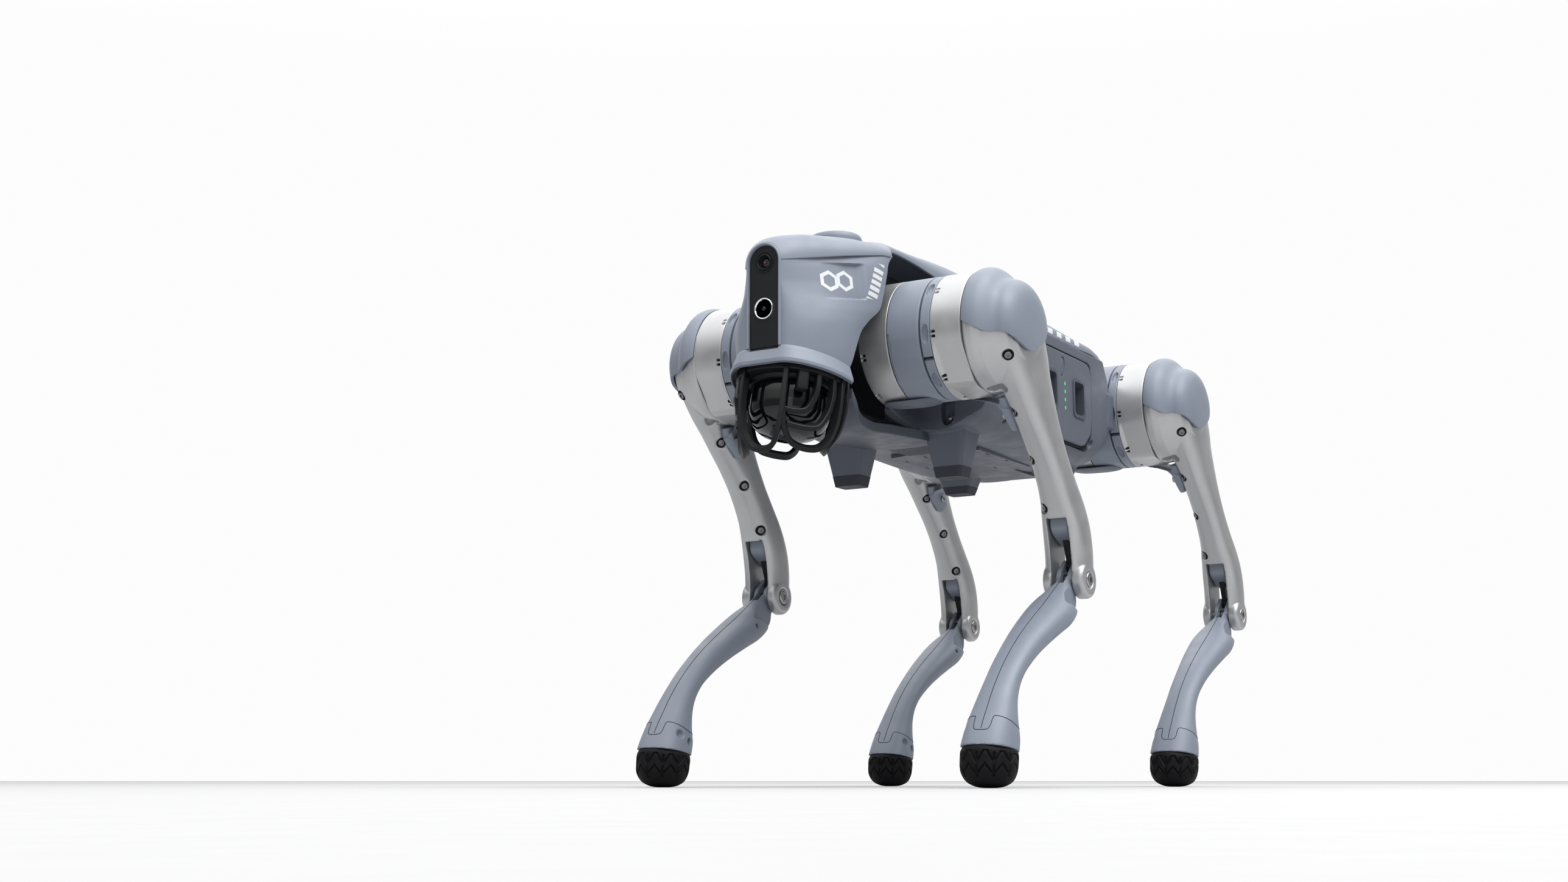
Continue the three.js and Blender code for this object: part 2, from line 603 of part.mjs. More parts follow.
const POCKET = { x: 31, half: 13, z: [-24, 10], depth: 12 };
const BUTTON = { x: -23, half: 4, z: [9.5, 25.5], y: [91.5, 95.4], seat: 89 };

function batteryPack() {
  const middle = (BATTERY.x[0] + BATTERY.x[1]) / 2;
  const pack = block(...BATTERY.x, ...BATTERY.y, ...BATTERY.z);
  const pockets = [-1, 1].map((side) => block(middle + side * POCKET.x - POCKET.half,
    middle + side * POCKET.x + POCKET.half, BATTERY.y[1] - POCKET.depth, 120, ...POCKET.z));
  const seat = block(BUTTON.x - BUTTON.half - GAP, BUTTON.x + BUTTON.half + GAP, BUTTON.seat, 120,
    BUTTON.z[0] - GAP, BUTTON.z[1] + GAP);
  return cut(pack, ...pockets, seat);
}

function powerButton() {
  return block(BUTTON.x - BUTTON.half, BUTTON.x + BUTTON.half, ...BUTTON.y, ...BUTTON.z);
}

function mainBoard() {
  const board = block(-85, 80, -70, 70, SHELF.top + GAP, SHELF.top + 2);
  const chips = [[-40, 20, 15], [30, -25, 18]].map(([x, y, half]) =>
    block(x - half, x + half, y - half, y + half, SHELF.top + 1, SHELF.top + 7));
  return join(board, ...chips);
}

// The belly plate is wide between the feet and narrow where it passes them.
function bellyPlate() {
  const outline = [[BRIDGE.from - 2, 20], [56, 20], [48, 44], [-62, 44], [-70, 24], [-132, 24],
    [-132, -24], [-70, -24], [-62, -44], [48, -44], [56, -20], [BRIDGE.from - 2, -20]];
  const shape = new THREE.Shape(outline.map(([x, y]) => new THREE.Vector2(x, y)));
  const slab = new THREE.ExtrudeGeometry(shape, { depth: 3, bevelEnabled: false });
  slab.translate(0, 0, TRUNK_BOTTOM - GAP - 3);
  return solid(slab);
}

function build() {
  const legs = [['front_left', 1, 1], ['front_right', 1, -1], ['rear_left', -1, 1],
    ['rear_right', -1, -1]].map(([name, end, side]) => leg(name, end, side));
  const robot = new THREE.Group();
  const lidar = group([LIDAR.x, 0, LIDAR.under], [mesh('lidar_dome', lidarDome(), GLOSS)],
    LIDAR.tilt);
  robot.add(
    ...legs,
    mesh('chassis', chassis(), DARK_SLATE),
    mesh('top_cover', topCover(), SLATE),
    mesh('antenna_puck', antennaPuck(), SLATE),
    mesh('head_shell', headShell(), SLATE),
    mesh('face_plate', facePlate(), GLOSS),
    mesh('camera_module', cameraModule(), BLACK),
    mesh('front_lamp', frontLamp(), CLEAR),
    mesh('lidar_base', lidarBase(), BLACK),
    lidar,
    mesh('lidar_guard', lidarGuard(), BLACK),
    mesh('front_hip_motors', hipMotors(1), STEEL),
    mesh('rear_hip_motors', hipMotors(-1), STEEL),
    mesh('battery_pack', batteryPack(), DARK_SLATE),
    mesh('power_button', powerButton(), SLATE),
    mesh('main_board', mainBoard(), GREEN_BOARD),
    mesh('belly_plate', bellyPlate(), DARK_SLATE),
  );
  robot.position.set(-ORIGIN_X, 0, HIP_HEIGHT);
  return robot;
}

export default build();
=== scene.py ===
import json
import math

import bpy
import bmesh
import numpy as np
from mathutils import Matrix, Vector
from mathutils.bvhtree import BVHTree


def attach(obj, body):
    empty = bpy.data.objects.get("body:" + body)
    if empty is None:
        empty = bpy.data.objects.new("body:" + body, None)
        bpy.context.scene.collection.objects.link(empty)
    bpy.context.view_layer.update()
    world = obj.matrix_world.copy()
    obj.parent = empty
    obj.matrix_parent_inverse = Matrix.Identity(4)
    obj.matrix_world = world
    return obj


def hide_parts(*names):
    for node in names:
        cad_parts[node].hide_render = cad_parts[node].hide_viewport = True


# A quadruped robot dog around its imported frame. Shapes are drawn in millimetres, in the trunk's
# frame or straight in a limb's own frame, and stand in the row frame in metres when they are put.
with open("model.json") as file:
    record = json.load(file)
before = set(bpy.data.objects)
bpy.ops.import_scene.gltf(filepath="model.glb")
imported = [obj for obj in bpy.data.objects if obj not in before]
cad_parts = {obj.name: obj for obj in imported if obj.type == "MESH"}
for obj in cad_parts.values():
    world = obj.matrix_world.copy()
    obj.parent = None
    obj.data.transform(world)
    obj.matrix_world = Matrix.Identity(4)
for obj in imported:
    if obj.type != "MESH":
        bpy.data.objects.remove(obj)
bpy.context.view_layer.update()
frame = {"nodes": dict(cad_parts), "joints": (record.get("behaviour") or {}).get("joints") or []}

JOINTS = {joint["name"]: Vector(joint.get("pos_m") or (0, 0, 0)) * 1000 for joint in frame["joints"]}
FRONT_HIP, REAR_HIP = JOINTS["front_left_hip_swing"], JOINTS["rear_left_hip_swing"]
HIP_X = (FRONT_HIP.x - REAR_HIP.x) / 2
LEG_Y = FRONT_HIP.y
ROLL_Y = 46.5
LINK = 213
THIGH_LEAN = 28
KNEE_BEND = 76
LEGS = [("front_left", 1, 1), ("front_right", 1, -1), ("rear_left", -1, 1), ("rear_right", -1, -1)]
LIMB_BODIES = {"hip": "hip", "thigh": "upper", "shank": "lower", "foot": "lower"}
SIDES = ((1, "left"), (-1, "right"))

TO_METRES = Matrix.Scale(0.001, 4)
TRUNK = TO_METRES @ Matrix.Translation(((FRONT_HIP.x + REAR_HIP.x) / 2, 0, FRONT_HIP.z))
DROP = Matrix.Translation((0, 0, -LINK))
MIRROR = Matrix.Scale(-1, 4, (0, 1, 0))

VOXEL = 0.8
SHARP_ANGLE = math.radians(38)
SEAM_RADIUS = 0.26
BEVEL_ANGLE = math.radians(60)


def turn(degrees, axis="Y"):
    return Matrix.Rotation(math.radians(degrees), 4, axis)


def limb_frames(end):
    """The frames of one leg's hip, thigh, shank and foot, for the left side."""
    hip = TRUNK @ Matrix.Translation((end * HIP_X, 0, 0))
    thigh = hip @ turn(THIGH_LEAN)
    shank = thigh @ DROP @ turn(-KNEE_BEND)
    foot = shank @ DROP @ turn(KNEE_BEND - THIGH_LEAN)
    return {"hip": hip, "thigh": thigh, "shank": shank, "foot": foot}


def material(name, color, roughness, metallic=0.0, grain=0.0, grain_size=1400, mottle=0.04,
             shine=0.5, rough_swing=0.08, transmission=0.0, emission=None, ior=1.5):
    """Plastic, paint, metal or rubber with a fine grain and slow mottling."""
    mat = bpy.data.materials.new(name)
    mat.use_nodes = True
    nodes, links = mat.node_tree.nodes, mat.node_tree.links
    shader = nodes["Principled BSDF"]
    shader.inputs["Metallic"].default_value = metallic
    shader.inputs["IOR"].default_value = ior
    shader.inputs["Specular IOR Level"].default_value = shine
    shader.inputs["Transmission Weight"].default_value = transmission
    if emission:
        shader.inputs["Emission Color"].default_value = (*color, 1)
        shader.inputs["Emission Strength"].default_value = emission
    where = nodes.new("ShaderNodeTexCoord").outputs["Object"]

    def noise(scale, detail):
        node = nodes.new("ShaderNodeTexNoise")
        node.inputs["Scale"].default_value = scale
        node.inputs["Detail"].default_value = detail
        links.new(where, node.inputs["Vector"])
        return node.outputs["Fac"]

    def spread(value, low, high):
        node = nodes.new("ShaderNodeMapRange")
        node.inputs["From Min"].default_value, node.inputs["From Max"].default_value = 0.3, 0.7
        node.inputs["To Min"].default_value, node.inputs["To Max"].default_value = low, high
        links.new(value, node.inputs["Value"])
        return node.outputs["Result"]

    slow, fine = noise(14, 3), noise(grain_size, 2)
    tint = nodes.new("ShaderNodeMix")
    tint.data_type = "RGBA"
    tint.inputs["A"].default_value = (*[c * (1 - mottle) for c in color], 1)
    tint.inputs["B"].default_value = (*[min(1, c * (1 + mottle)) for c in color], 1)
    both = nodes.new("ShaderNodeMath")
    both.operation = "ADD"
    links.new(spread(slow, 0, 0.55), both.inputs[0])
    links.new(spread(fine, 0, 0.45), both.inputs[1])
    links.new(both.outputs[0], tint.inputs["Factor"])
    links.new(tint.outputs["Result"], shader.inputs["Base Color"])
    rough = spread(noise(60, 4), roughness - rough_swing, roughness + rough_swing)
    links.new(rough, shader.inputs["Roughness"])
    if grain:
        bump = nodes.new("ShaderNodeBump")
        bump.inputs["Strength"].default_value = grain
        bump.inputs["Distance"].default_value = 0.0004
        links.new(fine, bump.inputs["Height"])
        links.new(bump.outputs["Normal"], shader.inputs["Normal"])
    return mat


SLATE = material("slate_plastic", (0.19, 0.216, 0.266), 0.48, grain=0.14)
# the slate painted darker for the hull, the battery, its button and the lip under the barrels: painted shade
# for sides and undersides that face away from the light
SHADED_SLATE = material("slate_painted_shade", (0.092, 0.105, 0.134), 0.5, grain=0.2,
                      grain_size=1000, shine=0.35)
DARK_SLATE = material("dark_slate_plastic", (0.066, 0.076, 0.097), 0.48, grain=0.22,
                      grain_size=1000, shine=0.35)
TIP = material("tip_rubber", (0.034, 0.038, 0.048), 0.6, grain=0.2, shine=0.25)
SILVER = material("silver_paint", (0.46, 0.466, 0.476), 0.38, metallic=0.75, grain=0.03,
                  grain_size=900, mottle=0.03)
STEEL = material("machined_steel", (0.42, 0.42, 0.43), 0.24, metallic=1.0, grain=0.05, mottle=0.08)
BOLT = material("bolt_steel", (0.2, 0.2, 0.21), 0.34, metallic=1.0, mottle=0.08)
BLACK = material("black_plastic", (0.007, 0.008, 0.01), 0.42, grain=0.12, shine=0.22)
# near black for parting lines and gaps, and for painted shade in the clip windows and the screw recesses
SEAM_AND_SHADE = material("parting_shadow", (0.01, 0.011, 0.014), 0.8, shine=0.1)
GLOSS = material("gloss_black", (0.003, 0.0035, 0.0045), 0.06, rough_swing=0.02)
FACE_BLACK = material("face_black", (0.008, 0.009, 0.011), 0.36, rough_swing=0.03, shine=0.4)
RUBBER = material("foot_rubber", (0.006, 0.006, 0.007), 0.6, grain=0.3, grain_size=900,
                  shine=0.12)
WHITE_PRINT = material("white_print", (0.62, 0.64, 0.66), 0.5)
LENS = material("clear_lens", (0.95, 0.96, 0.97), 0.03, transmission=1.0, rough_swing=0.01,
                ior=1.49)
CHROME = material("chrome", (0.86, 0.86, 0.88), 0.1, metallic=1.0, rough_swing=0.03)
AMBER = material("lamp_amber", (0.8, 0.62, 0.04), 0.3, emission=0.25)
LED_GREEN = material("charge_light", (0.05, 0.6, 0.12), 0.4, emission=0.45)
BOARD = material("circuit_board", (0.012, 0.07, 0.032), 0.4, grain=0.3, grain_size=300, mottle=0.3)
# a painted reflection: the coloured glint of the camera's lens coating
LENS_GLINT = material("painted_lens_glint", (0.2, 0.025, 0.15), 0.08, rough_swing=0.01)
REFLECTOR = material("reflector", (0.8, 0.8, 0.82), 0.2, metallic=0.5, mottle=0.02)


# ---- mesh tools
def ease(x):
    x = np.clip(x, 0, 1)
    return x * x * (3 - 2 * x)


def curve(rows, count):
    """Rows joined by one smooth curve, as count rows spaced evenly along it."""
    rows = np.array(rows, float)
    step = np.linalg.norm(np.diff(rows, axis=0), axis=1)
    at = np.concatenate([[0], np.cumsum(step)])
    slope = np.diff(rows, axis=0) / step[:, None]
    tangent = np.empty_like(rows)
    tangent[0], tangent[-1] = slope[0], slope[-1]
    before, after = step[:-1, None], step[1:, None]
    tangent[1:-1] = (slope[:-1] * after + slope[1:] * before) / (before + after)
    wanted = np.linspace(0, at[-1], count)
    k = np.clip(np.searchsorted(at, wanted, side="right") - 1, 0, len(step) - 1)
    h = step[k][:, None]
    u = ((wanted - at[k]) / step[k])[:, None]
    return ((2 * u**3 - 3 * u**2 + 1) * rows[k] + (u**3 - 2 * u**2 + u) * h * tangent[k]
            + (3 * u**2 - 2 * u**3) * rows[k + 1] + (u**3 - u**2) * h * tangent[k + 1])


def mesh_of(points, faces):
    mesh = bpy.data.meshes.new("shape")
    mesh.from_pydata(np.asarray(points, float).tolist(), [], faces)
    mesh.update()
    return mesh


def grid(rings, wrap=True, caps=True):
    """Rings of points, one after the other, with flat ends."""
    rings = np.asarray(rings, float)
    rows, cols = rings.shape[:2]
    index = np.arange(rows * cols).reshape(rows, cols)
    right = np.roll(index, -1, axis=1)
    if not wrap:
        index, right = index[:, :-1], right[:, :-1]
    quads = np.stack([index[:-1], right[:-1], right[1:], index[1:]], axis=-1).reshape(-1, 4)
    faces = quads.tolist()
    if wrap and caps:
        faces += [list(range(cols))[::-1], list(range((rows - 1) * cols, rows * cols))]
    return outward(mesh_of(rings.reshape(-1, 3), faces))


def outward(mesh):
    work = bmesh.new()
    work.from_mesh(mesh)
    bmesh.ops.recalc_face_normals(work, faces=work.faces)
    work.to_mesh(mesh)
    work.free()
    return mesh


def box(x0, x1, y0, y1, z0, z1, bevel=0.0, segments=3):
    """A block with its edges rounded."""
    work = bmesh.new()
    bmesh.ops.create_cube(work, size=1)
    for v in work.verts:
        v.co = Vector((x0 + (v.co.x + 0.5) * (x1 - x0), y0 + (v.co.y + 0.5) * (y1 - y0),
                       z0 + (v.co.z + 0.5) * (z1 - z0)))
    if bevel:
        bmesh.ops.bevel(work, geom=work.edges[:], offset=bevel, segments=segments, profile=0.5,
                        affect="EDGES", clamp_overlap=True)
    mesh = bpy.data.meshes.new("box")
    work.to_mesh(mesh)
    work.free()
    return mesh


def lathe(profile, sides=96, along="Y", at=(0, 0, 0), dent=None):
    """A profile of (radius, height) turned about an axis. dent(angle, height) is how far it sinks."""
    profile = np.array([(max(r, 0.01), h) for r, h in profile], float)
    angle = sides if isinstance(sides, np.ndarray) else np.linspace(0, 2 * math.pi, sides, endpoint=False)
    radius = np.repeat(profile[:, :1], len(angle), axis=1)
    height = np.repeat(profile[:, 1:], len(angle), axis=1)
    if dent:
        sink = dent(angle[None, :] + 0 * radius, height, radius)
        radius = np.maximum(radius - sink, 0.01)
    a, b = radius * np.cos(angle), radius * np.sin(angle)
    order = {"X": (height, a, b), "Y": (a, height, b), "Z": (a, b, height)}[along]
    return grid(np.stack(order, axis=-1) + np.array(at, float))


def cylinder(radius, start, end, sides=48, along="Y", at=(0, 0, 0), edge=0.0):
    """A disc or a rod between two heights, its edges rounded."""
    profile = [(0, start), (radius, start), (radius, end), (0, end)]
    return lathe(rounded(profile, edge) if edge else profile, sides, along, at)


def rounded(profile, radius=1.0, steps=4):
    """A profile with each inner corner rounded."""
    out = [profile[0]]
    for before, corner, after in zip(profile, profile[1:], profile[2:]):
        b, c, a = (np.array(p, float) for p in (before, corner, after))
        r = min(radius, 0.45 * np.linalg.norm(b - c), 0.45 * np.linalg.norm(a - c))
        start = c + (b - c) / max(np.linalg.norm(b - c), 1e-6) * r
        end = c + (a - c) / max(np.linalg.norm(a - c), 1e-6) * r
        out += [tuple((1 - t) ** 2 * start + 2 * t * (1 - t) * c + t * t * end)
                for t in np.linspace(0, 1, steps)]
    return out + [profile[-1]]


def dense(profile, longest):
    """A profile with points added so that no step is longer than this."""
    out = [profile[0]]
    for (r0, h0), (r1, h1) in zip(profile, profile[1:]):
        count = max(1, math.ceil(math.hypot(r1 - r0, h1 - h0) / longest))
        out += [(r0 + (r1 - r0) * i / count, h0 + (h1 - h0) * i / count) for i in range(1, count + 1)]
    return out


def oval(front, rear, half, y=0.0, power=2.5, slim=0.0, count=64):
    """One slice of a limb: a superellipse between a front and a rear point of the X-Z plane."""
    angle = np.linspace(0, 2 * math.pi, count, endpoint=False)
    ahead = np.sign(np.cos(angle)) * np.abs(np.cos(angle)) ** (2 / power)
    side = np.sign(np.sin(angle)) * np.abs(np.sin(angle)) ** (2 / power)
    front, rear = np.array(front, float), np.array(rear, float)
    middle, reach = (front + rear) / 2, (front - rear) / 2
    return np.stack([middle[0] + reach[0] * ahead, y + side * half * (1 - slim * np.maximum(0, ahead)),
                     middle[1] + reach[1] * ahead], axis=-1)


def limb(stations, count, y=0.0, ring=64):
    """A limb through slices of (front x, front z, rear x, rear z, half width, power)."""
    return grid([oval(row[:2], row[2:4], row[4], y, row[5], count=ring) for row in curve(stations, count)])


def joined(meshes):
    """Several meshes as one."""
    work = bmesh.new()
    for mesh in meshes:
        work.from_mesh(mesh)
    mesh = bpy.data.meshes.new("joined")
    work.to_mesh(mesh)
    work.free()
    return mesh


def moved(mesh, matrix):
    copy = mesh.copy()
    copy.transform(matrix)
    if matrix.determinant() < 0:
        copy.flip_normals()
    return copy


def link(mesh, name):
    obj = bpy.data.objects.new(name, mesh)
    bpy.context.scene.collection.objects.link(obj)
    return obj


def baked(obj):
    """The object's mesh with its modifiers applied; the object itself goes."""
    bpy.context.view_layer.update()
    graph = bpy.context.evaluated_depsgraph_get()
    mesh = bpy.data.meshes.new_from_object(obj.evaluated_get(graph))
    bpy.data.objects.remove(obj)
    return mesh


def carved(mesh, cuts):
    """A mesh with other closed meshes cut out of it."""
    body, tool = link(mesh, "carving"), link(joined(cuts), "tool")
    cut = body.modifiers.new("cut", "BOOLEAN")
    cut.operation, cut.object, cut.solver, cut.use_self = "DIFFERENCE", tool, "EXACT", True
    mesh = baked(body)
    bpy.data.objects.remove(tool)
    return mesh


def cast(adds, cuts=(), voxel=1.0, soften=4, keep=0.5):
    """One casting: closed shapes fused, others cut out, and every edge and joint softened."""
    mesh = joined(adds)
    if cuts:
        mesh = carved(mesh, cuts)
    obj = link(mesh, "casting")
    remesh = obj.modifiers.new("fuse", "REMESH")
    remesh.mode, remesh.voxel_size = "VOXEL", VOXEL * voxel
    soft = obj.modifiers.new("soften", "SMOOTH")
    soft.factor, soft.iterations = 0.5, soften
    obj.modifiers.new("thin", "DECIMATE").ratio = keep
    return baked(obj)


def thickened(mesh, thick, bevel=0.8, even=False):
    """An open skin made solid inwards, with its edges rounded."""
    obj = link(mesh, "shell")
    solid = obj.modifiers.new("thick", "SOLIDIFY")
    solid.thickness, solid.offset, solid.use_even_offset = thick, -1, even
    if bevel:
        soft = obj.modifiers.new("edge", "BEVEL")
        soft.width, soft.segments, soft.limit_method, soft.angle_limit = bevel, 3, "ANGLE", BEVEL_ANGLE
    return baked(obj)


def upwards(mesh, toward=(0, 0, 1)):
    """An open skin turned so that its faces look this way on the whole."""
    if sum(p.normal.dot(Vector(toward)) * p.area for p in mesh.polygons) < 0:
        mesh.flip_normals()
    return mesh


def put(name, mesh, mat, body="trunk", matrix=TRUNK, node=None):
    """A finished piece in its place on a body. It may stand in for a node of the frame."""
    shape = moved(mesh, matrix)
    shape.shade_smooth()
    shape.set_sharp_from_angle(angle=SHARP_ANGLE)
    obj = link(shape, name)
    obj.data.materials.clear()
    obj.data.materials.append(mat)
    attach(obj, body)
    if node:
        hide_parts(node)


def per_leg(part, mesh, mat, limb_name, node=None, rear_mesh=None):
    """The same piece on each leg, mirrored on the right ones. The rear legs may have their own shape."""
    for leg, end, side in LEGS:
        matrix = limb_frames(end)[limb_name]
        put(f"{leg}_{part}", rear_mesh if rear_mesh and end < 0 else mesh, mat,
            f"{leg}_{LIMB_BODIES[limb_name]}", matrix if side > 0 else MIRROR @ matrix,
            f"{leg}_{node}" if node else None)


def along_path(points, count):
    """A smooth path and its direction at each point."""
    path = curve(points, count)
    forward = np.gradient(path, axis=0)
    return path, forward / np.linalg.norm(forward, axis=1)[:, None]


def tube(points, radius, sides=8, count=None):
    """A round bar along a smooth path."""
    path, forward = along_path(points, count or 4 * len(points))
    up = np.array([0.0, 0.0, 1.0]) if abs(forward[:, 2]).mean() < 0.7 else np.array([0.0, 1.0, 0.0])
    side = np.cross(forward, up)
    side /= np.maximum(np.linalg.norm(side, axis=1), 1e-6)[:, None]
    over = np.cross(side, forward)
    angle = np.linspace(0, 2 * math.pi, sides, endpoint=False)
    return grid(path[:, None] + radius * (np.cos(angle)[None, :, None] * side[:, None]
                                          + np.sin(angle)[None, :, None] * over[:, None]))


def tree_of(mesh):
    return BVHTree.FromPolygons([v.co[:] for v in mesh.vertices], [p.vertices[:] for p in mesh.polygons])


def seam(points, onto, count, towards=None):
    """A parting line: a thin dark thread laid on a surface along these points."""
    tree = tree_of(onto)
    laid = []
    for p in curve(points, count):
        hit = tree.ray_cast(Vector(p), Vector(towards))[0] if towards else None
        laid.append(hit or tree.find_nearest(Vector(p))[0])
    return tube(laid, SEAM_RADIUS, sides=6, count=2 * len(laid))


def screw(radius, height, socket=0.45):
    """A screw head about Z with a hexagonal socket."""
    inner = radius * socket
    profile = rounded([(0.01, 0), (radius, 0), (radius, height), (inner * 1.25, height)], 0.25 * radius)
    head = lathe(profile + [(inner, height - 0.1)], 32, "Z")
    return carved(head, [cylinder(inner, height * 0.35, height * 1.5, 6, "Z")])


def facing(at, direction):
    """A frame at a point whose Z axis looks along a direction."""
    return Matrix.Translation(at) @ Vector(direction).to_track_quat("Z", "Y").to_matrix().to_4x4()


def socket_cut(at, direction, radius, deep):
    """The hole that a screw sits in."""
    return moved(cylinder(radius, -deep, 12, 32, "Z"), facing(at, direction))


# ---- hip barrels
# angles are in degrees from straight ahead, upwards; a facet is (angle, distance from the axis)
BARREL = 50
BARREL_BORE = 30


def angles(centres, reach=9.0, base=150, extra=26):
    """Turns round a barrel, closer together near each centre, in radians."""
    wanted = list(np.linspace(0, 360, base, endpoint=False))
    for centre in centres:
        wanted += list(np.linspace(centre - reach, centre + reach, extra))
    return np.radians(np.unique(np.round(np.array(wanted) % 360, 2)))


def away(angle, degrees):
    """The angle from a direction, in degrees, between -180 and 180."""
    return (np.degrees(angle) - degrees + 180) % 360 - 180


def patch(angle, height, degrees, middle, wide, tall, soft=0.5):
    """1 inside a rectangle on the barrel's skin, and 0 outside."""
    across = np.abs(away(angle, degrees)) * math.pi / 180 * BARREL
    up = np.abs(height - middle)
    return ease((wide / 2 - across) / soft + 0.5) * ease((tall / 2 - up) / soft + 0.5)


def flats(angle, facets):
    """How far flats sink below the barrel's round skin. A facet is (direction, distance)."""
    sink = 0 * angle
    for degrees, distance in facets:
        off = np.radians(np.abs(away(angle, degrees)))
        sink = np.maximum(sink, BARREL - distance / np.cos(np.minimum(off, 1.2)))
    return sink


def barrel_profile(y0, y1, edge=0.9, step=0.8):
    """The section of a ring of the barrel, with close steps across its skin."""
    walls = rounded([(BARREL_BORE, y0), (BARREL, y0), (BARREL, y1), (BARREL_BORE, y1)], edge, 4)
    return dense(walls[:5], 30)[:-1] + dense(walls[4:6], step) + walls[6:]


HOUSING_NOTCHES = [-22, -65, -108, 22, 65]
MOTOR_NOTCHES = [64, 20, -24, -68, -112, 108]
DIMPLES = [21, -25, -71, -117, -163, 151, 105, 67]
NOTCH_PAIR = (-2.1, 2.1)
HOUSING_NOTCH_Y, MOTOR_NOTCH_Y = 36.2, 99.4
SLIT = -2
STATIC_FACETS = [(-19, 49.3), (-60, 49.1)]
MOVING_FACETS = [(-10, 46.9), (-56, 47.4)]


def notches(angle, height, at, middle):
    """Pairs of small clip windows along a drum's edge."""
    sink = 0 * angle
    for degrees in at:
        for shift in NOTCH_PAIR:
            sink = sink + 2.2 * patch(angle, height, degrees + shift, middle, 1.9, 3.2)
    return sink


def housing_dent(angle, height, radius):
    """The inner casting: windows along its inner edge."""
    return notches(angle, height, HOUSING_NOTCHES, HOUSING_NOTCH_Y)


def barrel_dent(angle, height, radius):
    """The thigh motor's slate barrel: two flats, and a rim that steps round the front."""
    skin = flats(angle, STATIC_FACETS)
    rim = 0.8 * ease((61.2 - height) / 0.6) * (np.abs(away(angle, -25)) < 22)
    return (skin + rim) * (radius > BARREL - 2)


def ring_dent(angle, height, radius):
    """The clamp ring: a row of dimples, and the slit that closes it."""
    sink = 0 * angle
    for degrees in DIMPLES:
        across = away(angle, degrees) * math.pi / 180 * BARREL / 7.6
        up = (height - 92.2) / 2.9
        sink = sink + 3.6 * np.sqrt(np.maximum(0, 1 - across**2 - up**2))
    return sink + 6 * patch(angle, height, SLIT, 92.4, 1.9, 30, 0.4)


def motor_dent(angle, height, radius):
    """The knee motor's drum: flats below the front, and windows along its inner edge."""
    skin = flats(angle, MOVING_FACETS) * ease((height - 97.5) / 3)
    return (skin + notches(angle, height, MOTOR_NOTCHES, MOTOR_NOTCH_Y)) * (radius > BARREL - 6)


def hip_barrels():
    housing = lathe(barrel_profile(33.4, 58.4, 0.45), angles(HOUSING_NOTCHES, 5), dent=housing_dent)
    castings = []
    for flange_x, collar_x in ((-52.4, -46), (0.4, 34)):
        flange = cylinder(14, 0, 52, 48, "X", (flange_x, ROLL_Y, 0), 1)
        collar = rounded([(0, 0), (22, 0), (24, 5), (24, 12), (0, 12)], 1.5)
        castings.append(joined([housing, flange, lathe(collar, 64, "X", (collar_x, ROLL_Y, 0))]))
    per_leg("hip_casting", castings[0], SILVER, "hip", "hip_housing", rear_mesh=castings[1])
    barrel = lathe(barrel_profile(58.8, 86.6), angles([0, -38, -79], 8), dent=barrel_dent)
    per_leg("hip_barrel", barrel, SLATE, "hip", "thigh_motor")
    # dark blocks at the floor of the clip windows: painted shade for the windows' dark insides
    for at, middle, limb_name in ((HOUSING_NOTCHES, HOUSING_NOTCH_Y, "hip"),
                                  (MOTOR_NOTCHES, MOTOR_NOTCH_Y, "thigh")):
        floor = box(46, 48.35, middle - 1.9, middle + 1.9, -1.15, 1.15)
        floors = [moved(floor, turn(-degrees - shift)) for degrees in at for shift in NOTCH_PAIR]
        per_leg(f"notch_floor_{LIMB_BODIES[limb_name]}", joined(floors), SEAM_AND_SHADE, limb_name)
    per_leg("hip_shadow_gap", cylinder(46, 84, 99, 96), BLACK, "thigh")
    ring = lathe(barrel_profile(88.3, 96.4, 0.6, 0.45), angles(DIMPLES + [SLIT], 11, 160, 30), dent=ring_dent)
    per_leg("split_ring", ring, SLATE, "thigh", "clamp_ring")
    drum = lathe(barrel_profile(96.8, 122.7, 0.5), angles(MOTOR_NOTCHES, 6), dent=motor_dent)
    per_leg("motor_drum", drum, SILVER, "thigh", "knee_motor")
    # a thin lip under the casting and the barrel: rows of (y, half width, z)
    around = np.linspace(0, 2 * math.pi, 64, endpoint=False)
    lip_rows = [(32.6, 2, -48.2), (34, 8, -48.8), (39, 13, -49.6), (52, 15, -50), (66, 15, -49.9),
                (76, 12, -49.2), (81, 7, -48.5), (83, 2, -48)]
    lip = grid([np.stack([1 + half * np.cos(around), 0 * around + y, z + 1.9 * np.sin(around)], axis=-1)
                for y, half, z in curve(lip_rows, 50)])
    per_leg("barrel_fairing", lip, SHADED_SLATE, "hip")


# ---- thigh
THIGH = [(18, 22, -12, 22, 11, 2.6), (34, 0, -34, 0, 15, 3), (30.5, -30, -36, -30, 14.6, 3),
         (22.8, -52, -33.4, -48, 13.2, 3), (16, -72, -32.2, -67, 12.4, 3), (9.6, -90, -31.4, -86, 12, 3),
         (2.2, -119, -32.2, -117, 12.4, 3), (-0.6, -143, -34.8, -141, 13.8, 3),
         (-1.2, -158, -35, -160, 16, 3.2), (0, -172, -32.8, -176, 17.4, 3.4),
         (4.8, -188, -28.2, -195, 17.8, 3.4), (11.2, -203, -19.3, -211.6, 17.9, 3.4),
         (14.6, -213, -15.4, -213, 17.9, 3.4)]
SHOULDER = [(0, 123.1), (47.6, 123.1), (48.6, 124.6), (48.2, 130), (46.2, 136), (42, 143), (38, 149),
            (34.5, 154), (27, 158.6), (15, 161), (0, 161.6)]
